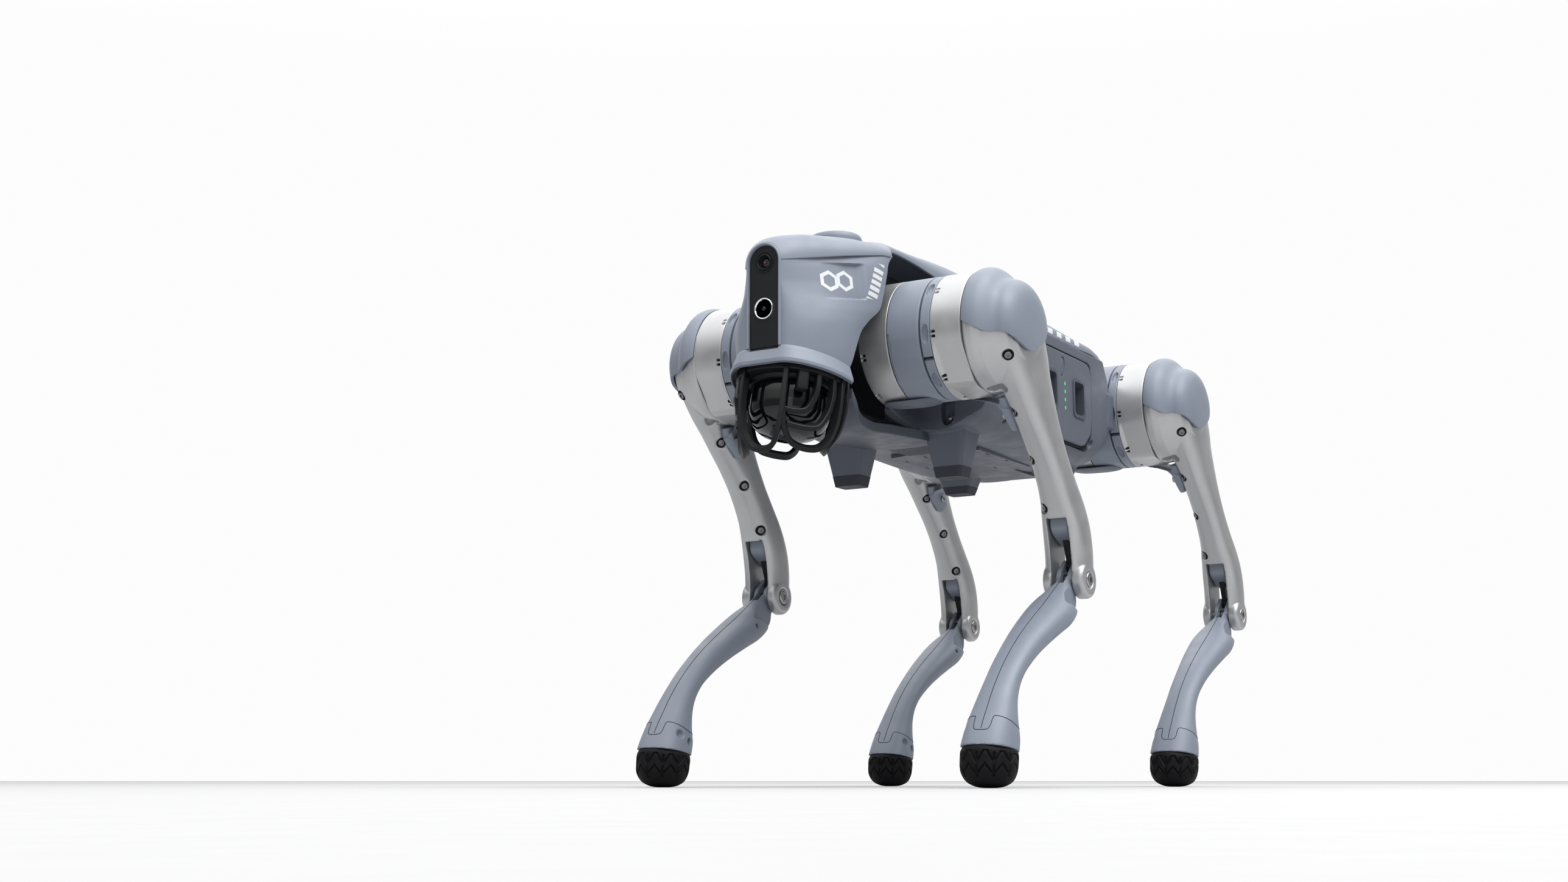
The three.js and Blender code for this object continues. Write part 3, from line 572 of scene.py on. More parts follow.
THIGH_SCREWS = [((17.5, 135.5, -61), (0.62, -0.78, 0)), ((3.0, 133.5, -106.5), (0.62, -0.78, 0)),
                ((-2.4, 132.5, -150.5), (0.62, -0.78, 0)), ((38.0, 152.9, -10.8), (0.93, 0.34, -0.14))]
SLOT_Y = LEG_Y - 0.6


def thigh_parts():
    knee_at = (0, 0, -LINK)
    knee = rounded([(0, -18), (13.4, -18), (15.4, -15.5), (15.4, 15.5), (13.4, 18), (0, 18)], 2)
    adds = [limb(THIGH, 110, LEG_Y), lathe(dense(SHOULDER, 4), 128), lathe(knee, 64, at=(0, LEG_Y, -LINK))]
    # the slot of the push rod, the scoop below the shoulder, and the holes of screws and knee bolts
    slot = [(-8, -158, -42, -158, 8.6, 14), (20, -163.5, -42, -163.5, 8.9, 14),
            (30, -175, -44, -175, 8.9, 14), (34, -200, -40, -205, 8.9, 14), (40, -240, -30, -240, 8.9, 14)]
    ball = lathe([(0.01, -1), (0.5, -0.86), (0.86, -0.5), (1, 0), (0.86, 0.5), (0.5, 0.86), (0.01, 1)], 32)
    cuts = [grid([oval(r[:2], r[2:4], r[4], SLOT_Y, r[5], count=48) for r in slot]),
            moved(ball, Matrix.Translation((31, 133.5, -40.5)) @ turn(38) @ turn(-24, "X")
                  @ Matrix.Diagonal((15, 8.5, 6, 1)))]
    cuts += [socket_cut(at, way, 4.6, 4.4) for at, way in THIGH_SCREWS]
    cuts += [cylinder(7.4, y - 1.6 * way, y + 6 * way, 48, at=knee_at)
             for y, way in ((LEG_Y + 17.4, 1), (LEG_Y - 17.4, -1))]
    per_leg("thigh_casting", cast(adds, cuts, soften=5, keep=0.45), SILVER, "thigh", "thigh")
    screws = [(Vector(at), Vector(way).normalized()) for at, way in THIGH_SCREWS]
    # a dark ring deep in each screw's recess: painted shade
    recess_shades = [moved(cylinder(4.7, -4.6, -3.7, 48, "Z"), facing(at, way)) for at, way in screws]
    per_leg("screw_recess_shade", joined(recess_shades), SEAM_AND_SHADE, "thigh")
    heads = [moved(screw(2.9, 1.6), facing(at - 4 * way, way)) for at, way in screws]
    per_leg("thigh_screws", joined(heads), BOLT, "thigh")
    pins = [moved(screw(6.1, 2.6, 0.4), facing((0, LEG_Y + 15.8 * way, -LINK), (0, way, 0)))
            for way in (1, -1)]
    shaft = cylinder(4.9, LEG_Y - 16, LEG_Y + 16, 32, at=knee_at)
    per_leg("knee_bolt", joined([*pins, shaft]), STEEL, "thigh", "knee_pin")
    # the lining that closes the top of the slot
    lining = limb([(-7, -161, -26, -161, 8.2, 8), (-3.4, -169, -30, -169, 8.2, 8),
                   (-12, -184, -31, -184, 8.2, 8), (-20, -192, -31, -192, 8.2, 8)], 24, SLOT_Y, 40)
    per_leg("slot_lining", cast([lining], voxel=0.9, soften=3), SLATE, "thigh")
    # the cover of the cable that runs along the drum's underside to the thigh's inner face
    level = grid([oval((x + w, z + 2), (x - w, z - 2), t, y, 4, count=32) for x, w, z, t, y in
                  [(0, 8, -50, 0.8, 99), (0, 10, -51, 1.6, 100.5), (1, 11, -51.8, 2.6, 106),
                   (3, 12, -53, 3.2, 116), (6, 12, -55.5, 3.6, 126), (8, 12, -60, 3.8, 131)]])
    upright = limb([(18, -48, -4, -52, 4.6, 3), (18, -58, -6, -60, 5.2, 3), (13, -70, -8, -70, 4.6, 3),
                    (8, -80, -8, -78, 3.4, 3)], 30, 130.5, 32)
    per_leg("cable_cover", cast([level, upright], voxel=0.8, soften=6), SLATE, "thigh")
    per_leg("cover_screw", moved(screw(3.2, 2), facing((6, 125.4, -66), (0, -1, 0))), STEEL, "thigh")


# ---- shoulder cap
CAP = [(50.2, 123.7), (51.4, 127), (51.7, 131), (50.8, 135.5), (48, 139.6), (44.2, 143), (41.2, 146),
       (39.8, 149), (39.0, 152.5), (36.8, 156.5), (32.4, 160.2), (25, 162.9), (15, 164.1), (5, 164.45),
       (0.3, 164.5)]
CAP_EDGE = [(110, 25), (123.7, 24.3), (125.7, 23.3), (130.5, 21.4), (136.1, 17.7), (140.6, 13.9),
            (144.8, 11.1), (149.9, 9.9), (154.1, 8.7), (157.7, 5.8), (160.4, 1.4), (162.2, -4.6),
            (163.1, -10.2), (163.5, -14), (163.9, -16.3)]


def shoulder_caps():
    """The cap over the shoulder, open below the line of CAP_EDGE, rows of (y, z)."""
    edge = np.array(CAP_EDGE)
    rows = []
    for radius, y in curve(CAP, 46):
        low = np.interp(y, edge[:, 0], edge[:, 1])
        start = math.asin(low / radius) if radius > 16.5 else -math.pi / 2
        angle = np.linspace(start, math.pi - start, 120)
        rows.append(np.stack([radius * np.cos(angle), 0 * angle + y, radius * np.sin(angle)], axis=-1))
    cap = thickened(grid(rows, wrap=False), 2.6, 0.7, even=True)
    per_leg("cap_shell", cap, SLATE, "thigh", "shoulder_cap")


# ---- shank and foot
SHANK_FRONT = [(10.4, -3), (11.6, -16), (13.0, -24), (15.4, -37), (18.6, -54), (22.2, -70), (26.4, -90),
               (29.6, -108), (31.7, -127), (32.5, -145), (32.0, -160), (30.4, -175), (27.9, -189),
               (25.3, -202.5), (22, -214), (19.4, -221.2)]
SHANK_REAR = [(-11, -1), (-12.6, -10), (-14.6, -19), (-12.8, -33), (-8.6, -52), (-2.2, -70), (5.2, -92),
              (10.2, -110), (13.8, -127), (15.8, -144), (14.2, -156), (10.6, -166), (6, -173), (-0.6, -180),
              (-8.4, -186.4), (-13.8, -195)]
SHANK_HALF = [7.2, 7.6, 11, 16.6, 19.2, 18.4, 16.8, 15.2, 14.1, 13.6, 13.7, 14.8, 16.4, 18.3, 19.8, 20.4]
LEVER_ANGLE = math.radians(50 - KNEE_BEND)
LEVER_REACH = 13


def scooped(skin):
    """The shank's skin sunk on both sides below the knee, open upwards and to the rear."""
    points = np.empty(len(skin.vertices) * 3)
    skin.vertices.foreach_get("co", points)
    points = points.reshape(-1, 3)
    down, ahead, aside = -points[:, 2], points[:, 0], np.abs(points[:, 1] - LEG_Y)
    ledge = np.interp(ahead, [-14, 14], [28, 46])
    inside = ease((12.5 - ahead) / 2 + 0.5) * ease((ledge - down) / 2 + 0.5)
    target = np.interp(down, [10, 42], [7.3, 9.6])
    sunk = np.where(aside > 5, np.minimum(aside, aside + (target - aside) * inside), aside)
    points[:, 1] = LEG_Y + np.sign(points[:, 1] - LEG_Y) * sunk
    skin.vertices.foreach_set("co", points.ravel())
    skin.update()
    return skin


def shank_parts():
    knee_at = (0, LEG_Y, 0)
    rows = [(*f, *r, h, 2.5) for f, r, h in zip(SHANK_FRONT, SHANK_REAR, SHANK_HALF)]
    tip_x, tip_z = -LEVER_REACH * math.sin(LEVER_ANGLE), LEVER_REACH * math.cos(LEVER_ANGLE)
    lever = grid([oval((x + w, z), (x - w, z), 7.1, LEG_Y, 8, count=40) for x, z, w in
                  [(0, -2, 11), (0.45 * tip_x, 0.45 * tip_z, 8.6), (tip_x, tip_z, 5.4),
                   (tip_x * 1.25, tip_z * 1.25, 3)]])
    adds = [scooped(limb(rows, 190, LEG_Y, 96)), cylinder(11.5, -7.1, 7.1, 64, at=knee_at, edge=1), lever]
    # the room of the push rod's eye, the knee's bore, a side hole and two holes in the cuff
    cuts = [cylinder(21, -2.9, 2.9, 48, at=knee_at), cylinder(5.2, -30, 30, 32, at=knee_at),
            socket_cut((8.6, LEG_Y - 18, -52), (0, -1, 0), 2.2, 9)]
    cuts += [socket_cut((x, LEG_Y - 19, z), (-0.3, -0.9, 0.1), 3.2, 4)
             for x, z in ((3.5, -196.5), (15, -200.5))]
    body = cast(adds, cuts, voxel=0.9, soften=3)
    per_leg("shank_shell", body, SLATE, "shank", "shank")
    # parting lines: down the front, and round the tab and the collar of each side
    front = [(x + 8, LEG_Y, z) for x, z in SHANK_FRONT[1:-2]] + [(31, LEG_Y, -208.4)]
    tab = [(24.5, 9.8, -196.6), (24.7, 7.4, -197.4), (23.8, 6.7, -200.6), (22.8, 6.2, -206.6),
           (22.2, 5, -208.8), (22, 3.4, -209.2)]
    collar = [(24.5, 9.5, -196.6), (20, 15, -195.2), (10, 17.8, -191), (-1, 16, -183)]
    across_front = [(22, LEG_Y - 3.4, -209.2), (21.8, LEG_Y, -209.3), (22, LEG_Y + 3.4, -209.2)]
    threads = [seam(front, body, 120, (-1, 0, 0))]
    threads += [seam([(x, LEG_Y + side * y, z) for x, y, z in path], body, 40)
                for side in (1, -1) for path in (tab, collar)]
    threads.append(seam(across_front, body, 14))
    per_leg("shank_seams", joined(threads), SEAM_AND_SHADE, "shank")


FOOT = [(5.4, -2.2, 19.6, 18.4), (5.2, -2.2, 20.9, 19.8), (3.6, -1.6, 21.8, 20.7), (-3.4, -0.4, 22.4, 21.3),
        (-10.4, 0.2, 22, 20.6), (-17, -0.4, 18.4, 17.6), (-20.8, -1, 12.5, 12), (-22.2, -1, 5.5, 5.5),
        (-22.25, -1, 0.5, 0.5)]
TREADS = 10


def foot_parts():
    """The sole, with two zigzag grooves round it and bars between them."""
    count = 240
    angle = np.linspace(0, 2 * math.pi, count, endpoint=False)
    pitch = angle / (2 * math.pi) * TREADS
    zig = np.abs((pitch % 1) * 2 - 1)
    rings = []
    for up, forward, depth, half in curve(FOOT, 90):
        groove = np.zeros(count)
        for base in (3, -5):
            groove = np.maximum(groove, ease(1.5 - np.abs(up - (base - 7.5 * zig)) / 0.9))
        bars = np.abs(((pitch + 0.5) % 1) - 0.5) * 2 * math.pi * half / TREADS
        groove = np.maximum(groove, ease(1.4 - bars / 0.7) * (up < 1) * (up > -14))
        top = up + 3.2 * np.cos(angle) * ease((up + 6) / 9)
        sink = 1.3 * groove * (up < 2.4) * (up > -17)
        x, y = forward + (depth - sink) * np.cos(angle), LEG_Y + (half - sink) * np.sin(angle)
        rings.append(np.stack([x, y, top], axis=-1))
    per_leg("foot_tread", grid(rings), RUBBER, "foot", "foot")


# ---- top cover
# rows of (x, half width, top, edge, power)
ARCHES = [(331.2, 15.4, 59.4, 43.8, 1.0), (328, 17.6, 61.6, 44.4, 0.94), (320, 23, 66, 46, 0.86),
          (304, 34, 71, 49.2, 0.78), (280, 46, 75.5, 54.2, 0.86), (255, 53, 79.5, 59.3, 0.9),
          (240, 55.4, 80.5, 62.4, 0.9), (228, 56, 82, 64, 0.87), (222, 53, 83.5, 67, 0.82),
          (212, 45.5, 86, 73, 0.75), (150, 42.5, 90, 75, 0.66), (130, 52, 90, 66, 0.66),
          (114, 65, 87, 54, 0.66), (96, 79, 81, 43, 0.66), (76, 87.5, 75, 41.2, 0.66), (36, 91, 67, 41.2, 0.64),
          (-60, 92.4, 58.5, 41.2, 0.6), (-104, 92.6, 55, 41.2, 0.6), (-124, 90, 51, 39.4, 0.62),
          (-138, 84, 44, 36, 0.66), (-142.6, 78, 40, 33, 0.7)]


def printed(onto, quads, side=1, lift=0.15, steps=10):
    """Flat marks laid on a side of a surface: each is four corners (x, z)."""
    tree = tree_of(onto)
    pieces = []
    for a, b, c, d in quads:
        rows = []
        for t in np.linspace(0, 1, steps):
            row = []
            for s in np.linspace(0, 1, steps):
                x, z = [(a[i] * (1 - s) + b[i] * s) * (1 - t) + (d[i] * (1 - s) + c[i] * s) * t
                        for i in (0, 1)]
                hit, normal = tree.ray_cast(Vector((x, side * 120, z)), Vector((0, -side, 0)))[:2]
                row.append(hit + lift * normal)
            rows.append(row)
        pieces.append(upwards(grid(rows, wrap=False), (0, side, 0.2)))
    return joined(pieces)


def top_cover():
    half_turn = np.linspace(0, math.pi, 121)
    rows = []
    for x, half, top, edge, power in curve(ARCHES, 240):
        side = np.sign(np.cos(half_turn)) * np.abs(np.cos(half_turn)) ** power
        height = edge + (top - edge) * np.abs(np.sin(half_turn)) ** power
        rows.append(np.stack([0 * side + x, half * side, height], axis=-1))
    shell = thickened(upwards(grid(rows, wrap=False)), 2.6)
    put("cover_shell", shell, SLATE, node="top_cover")
    dashes = [((x, 43.6), (x - 11, 43.6), (x - 13, 48.8), (x - 2, 48.8)) for x in (4, -16, -36, -56)]
    put("cover_dashes", printed(shell, dashes), WHITE_PRINT)
    puck = rounded([(0, 78), (22.2, 78), (22, 87.6), (20.2, 91), (0, 92.8)], 2.2, 7)
    put("antenna_cap", lathe(puck, 128, "Z", at=(220, 0, 0)), SLATE, node="antenna_puck")


# ---- head
# rows of (z, nose x, half width, rear x)
HEAD = [(53, 331, 55.6, 225), (50, 331, 55.9, 230), (46, 331, 56.4, 234.5), (42, 331, 56.8, 236.5),
        (36, 331, 57, 239.5), (26, 331, 56.8, 244), (18, 331, 56, 247), (14, 331, 55.4, 250.5),
        (6, 331, 53.2, 260), (-4, 331, 50.6, 268.6), (-12, 331, 48.4, 273), (-19, 331, 46.4, 276),
        (-23, 331, 45.2, 277.6)]
FLANGE = [(-23.2, 331.2, 45.4, 277.8), (-34, 335.4, 50, 281), (-34.6, 335.6, 50.2, 281.1),
          (-36.6, 335.6, 50.2, 281.3), (-37.2, 335, 49.6, 281.5)]
NOSE_X, NOSE_HALF = 331, 15.5
NOSE_SHARE = 0.06
TILT = 0.206
FACE_HALF, FACE_DEPTH, FACE_BOTTOM = 13.3, 5, -23.2
CAMERA_Z = 43.7
LAMP_Z = 7


def dense_rows(rows, steps):
    """Rows joined by straight lines."""
    rows = np.array(rows, float)
    return [a + (b - a) * t for a, b in zip(rows, rows[1:]) for t in np.linspace(0, 1, steps)]


def head_skin():
    """The head from the nose round to both rear edges, with the face set back and a recess on each side."""
    wing = np.concatenate([[0, 0.03, 0.0505, 0.0522, 0.056], np.linspace(NOSE_SHARE, 1, 170)])
    around = np.concatenate([-wing[:0:-1], wing])
    along = np.abs(around)
    back_along = np.maximum(0, along - NOSE_SHARE) / (1 - NOSE_SHARE)
    round_bow = np.sqrt(np.maximum(0, 1 - (1 - back_along) ** 2))
    rows = []
    for z, nose, half, back in [*curve(HEAD, 150), *dense_rows(FLANGE, 5)]:
        full = 0.75 * ease((34 - z) / 48)
        bow = (1 - full) * np.sin(math.pi / 2 * back_along) + full * round_bow
        y = np.where(along < NOSE_SHARE, along / NOSE_SHARE * NOSE_HALF, NOSE_HALF + (half - NOSE_HALF) * bow)
        y = np.sign(around) * y
        x = nose - (nose - back) * back_along
        x = x - FACE_DEPTH * (np.abs(y) < FACE_HALF) * (z > FACE_BOTTOM - 0.1)
        tilt = TILT * (x - NOSE_X)
        height = z + tilt * ease((-z - 2) / 21) - (tilt + 9.6) * ease((z - 14) / 39)
        # the recess that carries the mark, deepest towards the rear
        deep = 3.4 * np.clip((303 - x) / 24, 0, 1) * ease((x - 264.4) / 5.4)
        level = height - 0.13 * (303 - x)
        deep = deep * ease((level - 15.6) / 1.5) * ease((45.6 - level) / 1.6)
        y = y - np.sign(y) * deep
        rows.append(np.stack([x, y, height], axis=-1))
    return upwards(grid(rows, wrap=False), (1, 0, 0))


def hexagon(x, z, outer, inner):
    """A ring of six quads in the X-Z plane."""
    corner = [(math.cos(math.radians(60 * i + 30)), math.sin(math.radians(60 * i + 30))) for i in range(7)]
    return [((x + outer * a[0], z + outer * a[1]), (x + outer * b[0], z + outer * b[1]),
             (x + inner * b[0], z + inner * b[1]), (x + inner * a[0], z + inner * a[1]))
            for a, b in zip(corner, corner[1:])]


def head_stripes():
    """Five slanted stripes with a cut one at each end, as corners (x, z)."""
    top, bottom, wide, drop = 54, 22.4, 12, 1.9

    def edge(z, across=0.0):
        return (266.4 - (z - 21) * 0.42 - across * wide, z)

    stripes = []
    for low in (25.6 + 5.2 * i for i in range(5)):
        stripes.append((edge(low), edge(low - drop, 1), edge(low - drop + 3.5, 1), edge(low + 3.5)))
    stripes.append((edge(bottom), edge(bottom, 0.7), edge(bottom + 1.6, 0), edge(bottom + 1.6, 0)))
    stripes.append((edge(top, 0.3), edge(top - 2.6, 1), edge(top, 1), edge(top, 1)))
    return stripes


def face_loop(x, radius):
    """The face's outline, open at the bottom: two straight sides and a round top."""
    rail = np.linspace(FACE_BOTTOM, CAMERA_Z, 40)[:-1]
    arc = [(x, radius * math.cos(t), CAMERA_Z + radius * math.sin(t)) for t in np.linspace(0, math.pi, 61)]
    return [(x, radius, z) for z in rail] + arc + [(x, -radius, z) for z in rail[::-1]]


def face_piece(name, profile, mat, z, edge, steps=3, sides=96, node=None):
    """A round piece of the face, turned about an axis that looks ahead."""
    put(name, lathe(rounded(profile, edge, steps), sides, "X", at=(0, 0, z)), mat, node=node)


def head():
    shell = thickened(head_skin(), 2.4, 1.0)
    put("head_housing", shell, SLATE, node="head_shell")
    marks = hexagon(296.6, 31.4, 8.6, 5.4) + hexagon(282.4, 33.6, 8.6, 5.4)
    for side, name in SIDES:
        put(f"head_mark_{name}", printed(shell, marks, side, 0.12), WHITE_PRINT)
        put(f"head_stripes_{name}", printed(shell, head_stripes(), side, 0.12), WHITE_PRINT)
    # the raised rim round the face
    profile = [(325.2, 15.4), (331.2, 15.45), (332.3, 15.0), (332.7, 14.4), (332.4, 13.6), (331.4, 13.2),
               (327, 13.15)]
    rim = grid([face_loop(x, r) for x, r in rounded(profile, 0.8, 4)], wrap=False)
    put("face_rim", upwards(rim, (1, 0, 0)), SLATE)
    outline = face_loop(330.2, 12.95)
    face = upwards(mesh_of(outline, [list(range(len(outline)))]), (1, 0, 0))
    holes = [cylinder(r, 320, 340, 64, "X", (0, 0, z)) for r, z in ((8.5, CAMERA_Z), (8.3, LAMP_Z))]
    put("face_panel", carved(thickened(face, 2.6, 0), holes), FACE_BLACK, node="face_plate")
    # the camera: rings round a dark glass, with a painted reflection at its middle: the coloured glint of the
    # lens coating
    barrel = [(0, 322), (8.6, 322), (8.6, 330.5), (8.3, 330.9), (7.5, 330.9), (7.2, 330.3), (6.6, 330.3),
              (6.2, 331.4), (5.6, 331.7), (5.1, 331.1), (4.6, 329.2), (3.6, 327.8), (3.4, 326.6), (0, 326.4)]
    face_piece("camera_barrel", barrel, BLACK, CAMERA_Z, 0.3, node="camera_module")
    glass = [(0, 325), (4.4, 325), (4.3, 327.8), (3.4, 328.8), (2, 329.4), (0.01, 329.6)]
    face_piece("camera_glass", glass, GLOSS, CAMERA_Z, 0.5, 4, 64)
    glint = [(0, 329), (1.1, 329), (1.0, 329.6), (0.01, 329.85)]
    face_piece("camera_glint", glint, LENS_GLINT, CAMERA_Z, 0.2, 3, 48)
    # the lamp: a chromed cup with a dark ring of painted shadow, a reflector, an amber chip with a glowing arc
    # that is a painted reflection of it, and a clear dome
    cup = [(0, 316), (8.4, 316), (8.4, 331.4), (8, 332), (7.4, 331.9), (6.6, 330.2), (6.2, 330.4),
           (5.6, 329.6), (4.6, 327.6), (3.6, 326.9), (0.01, 326.8)]
    face_piece("lamp_cup", cup, CHROME, LAMP_Z, 0.3)
    shadow = [(7.1, 331), (6.3, 330.9), (6.3, 330.1), (7.1, 330.1), (7.1, 331)]
    face_piece("lamp_shadow", shadow, GLOSS, LAMP_Z, 0.1)
    plate = [(0.01, 326.6), (3.9, 326.6), (3.7, 327.2), (0.01, 327.2)]
    face_piece("lamp_reflector", plate, REFLECTOR, LAMP_Z, 0.1)
    # the amber arc is a painted reflection of the chip in the chrome cup, and it glows
    arc = [(329.9, 5.4 * math.cos(t), LAMP_Z + 5.4 * math.sin(t))
           for t in np.radians(np.linspace(140, 225, 12))]
    chip = box(327, 328, -1.2, 1.2, LAMP_Z - 1.2, LAMP_Z + 1.2, 0.2)
    put("lamp_chip_and_reflection", joined([chip, tube(arc, 0.6, 10)]), AMBER)
    dome = [(0, 326.9), (3, 326.9), (3, 328.6), (2.4, 330.4), (1.3, 331.3), (0.01, 331.6)]
    face_piece("lamp_lens", dome, LENS, LAMP_Z, 0.7, 5, 64, "front_lamp")


# ---- sensor and guard
SENSOR_AT, SENSOR_TILT = (288, 0, -44), -12
SENSOR = TRUNK @ Matrix.Translation(SENSOR_AT) @ turn(SENSOR_TILT)
BAR_WIDE, BAR_DEEP = 4, 6


def bent(points, count):
    """A bar of the cage along a path round the sensor, its deeper side pointing outwards."""
    path, forward = along_path(points, count)
    out = path * np.array([1, 1, 0.6]) - np.array([0, 0, -6])
    out = out - (out * forward).sum(1)[:, None] * forward
    out /= np.linalg.norm(out, axis=1)[:, None]
    over = np.cross(forward, out)
    corner = [(1, 0.72), (0.82, 1), (-0.82, 1), (-1, 0.72), (-1, -0.72), (-0.82, -1), (0.82, -1), (1, -0.72)]
    ring = [(BAR_DEEP / 2 * o, BAR_WIDE / 2 * v) for o, v in corner]
    return grid(path[:, None] + np.array([[o * r[0] + v * r[1] for r in ring] for o, v in zip(out, over)]))


def guard_bar(start, end, drop, reach=42.2, whole=True):
    """One bar of the cage, in the sensor's frame: a U between two bearings, or a J that ends on a bar."""
    middle, off = (start + end) / 2, start - end

    def at(bearing, r, z):
        a = math.radians(bearing)
        return (r * math.cos(a), r * math.sin(a), z)

    def stem(bearing):
        return [at(bearing, reach, 2), at(bearing, reach + 0.9, -10), at(bearing, reach + 1, 0.42 * drop)]

    def side(bearing):
        turned = bearing - middle
        low = [(0.97, 0.6, 0.66), (0.84, 4.4, 0.87), (0.6, 9, 0.975), (0.3, 11.5, 1)]
        return stem(bearing) + [at(middle + t * turned, reach - r, z * drop) for t, r, z in low]

    if whole:
        return bent(side(start) + side(end)[::-1], 110)
    low = [(0.93, 0.6, 0.7), (0.72, 1.6, 0.93), (0.36, 1.2, 1), (0, 0.6, 0.98)]
    return bent(stem(start) + [at(end + t * off, reach - r, z * drop) for t, r, z in low], 80)


def sensor():
    base = rounded([(0, 8), (35.4, 8), (35.4, -4.6), (33.4, -7.2), (31.6, -8), (0, -8)], 1.2, 5)
    put("sensor_base", lathe(base, 128, "Z"), BLACK, "trunk", SENSOR, "lidar_base")
    dome = rounded([(0, -8.6), (30.6, -8.6), (31.4, -11), (31.8, -17), (31.8, -26), (30.9, -30.6),
                    (28, -36.8), (23, -41.4), (15, -44.4), (7, -45.2), (0.01, -45.4)], 2.0, 6)
    put("sensor_dome", lathe(dome, 160, "Z"), GLOSS, "lidar", SENSOR, "lidar_dome")
    ring = rounded([(36.8, -5), (44, -5), (44.2, 2.4), (43.4, 3.4), (36.8, 3.4), (36.8, -5)], 0.9, 4)
    cage = [lathe(ring, 128, "Z"), guard_bar(-25, 25, -65)]
    for way in (1, -1):
        cage += [guard_bar(way * 25, way * 91, -61), guard_bar(way * 80, way * 31, -49, 40.6, whole=False),
                 guard_bar(way * 60, way * 27, -37, 39.8, whole=False), guard_bar(way * 104, way * 162, -49)]
    for bearing, low in ((43, -20), (-43, -20), (96, -12), (-96, -12), (150, -12), (-150, -12)):
        cage.append(moved(box(35, 43.6, -4.6, 4.6, low, 2, 1.8, 4), turn(bearing, "Z")))
    put("guard_cage", joined(cage), BLACK, "trunk", SENSOR, "lidar_guard")


# ---- trunk
# rows of (x, top, half width, bottom, power)
HULL = [(-143.4, 24, 90, -33, 3.2), (-141.6, 33, 92.2, -40, 3.6), (-136, 46, 93, -49, 4),
        (-120, 75, 93.2, -59, 5.5), (-98, 110, 93.2, -62, 7), (60, 118, 93, -61, 7), (118, 118, 91.2, -61, 7),
        (134, 110, 88, -60.4, 7), (141.4, 100, 82, -58.6, 6.6), (142, 98, 80.6, -58, 6.6)]
# each pair of feet: (x, tip height, height of the rubber tip)
POSTS = [(109, -98.2, 9), (-104, -78, 7)]
POST_Y = 48.5
POST_ROOT = -50
SCREW_Y = 52


def hull_ring(x, top, half, bottom, power):
    """One slice of the hull."""
    ring = oval((0, top), (0, bottom), half, 0, power, count=96)
    ring[:, 0] = x
    return ring


def post(x, y, tip, z0, z1, spread=0.0):
    """A tapered square foot between two heights."""
    ring = oval((1, 0), (-1, 0), 1, 0, 9, count=64)
    rows = []
    for z in np.linspace(z0, z1, 12):
        t = (z - POST_ROOT) / (tip - POST_ROOT)
        depth, half = 18 + (9.6 - 18) * t + spread, 21.5 + (11.8 - 21.5) * t + spread
        rows.append(np.stack([x + depth * ring[:, 0], y + half * ring[:, 1], 0 * ring[:, 0] + z], axis=-1))
    return grid(rows)


def trunk_shell():
    # the open top under the cover, and the battery's bay
    cuts = [box(-200, 200, -140, 140, 41, 150), box(-91.7, 37.7, -74, 120, -50.7, 31.7, 6, 4)]
    bowls = [rounded([(0, 124), (52, 124), (60, 128), (62, 160), (0, 160)], 3),
             rounded([(0, -128.6), (38, -128.6), (41, -132), (42, -160), (0, -160)], 3)]
    for side in (1, -1):
        # the hip bowls, the screw slots of the front edge, a slot and a step on the flank's underside
        cuts += [lathe(bowl, 96, "X", at=(0, side * ROLL_Y, 0)) for bowl in bowls]
        cuts.append(limb([(134, -36, 115, -36, 6, 6), (134, -50, 115, -50, 6, 6)], 12, side * SCREW_Y, 32))
        cuts += [cylinder(6, 115, 134, 32, "X", (0, side * SCREW_Y, z)) for z in (-36, -50)]
        cuts.append(moved(limb([(9, 0, -9, 0, 2.6, 2.2), (9, 9, -9, 9, 2.6, 2.2)], 6, 0, 32),
                          Matrix.Translation((-91, side * 88, -45)) @ turn(35) @ turn(-70 * side, "X")))
        cuts.append(moved(box(-6, 6, -1.2, 6, -2, 2, 0.8),
                          Matrix.Translation((83, side * 85, -47)) @ turn(40) @ turn(-35 * side, "X")))
    adds = [grid([hull_ring(*row) for row in curve(HULL, 80)])]
    adds += [post(x, side * POST_Y, tip, -46, tip + 2) for x, tip, _ in POSTS for side in (1, -1)]
    adds += [box(-143, -129, y0, y1, -22, 11, 1.2) for y0, y1 in ((88, 94.6), (-94.6, -88))]
    shell = cast(adds, cuts, voxel=0.95, soften=3, keep=0.45)
    put("trunk_shell", shell, SHADED_SLATE, node="chassis")
    tips = [post(x, side * POST_Y, tip, tip + tall, tip, 0.12) for x, tip, tall in POSTS for side in (1, -1)]
    put("post_tips", joined(tips), TIP)
    bolts = [moved(screw(3.6, 3), facing((115, side * SCREW_Y, -49.5), (1, 0, 0))) for side in (1, -1)]
    put("trunk_screws", joined(bolts), STEEL)


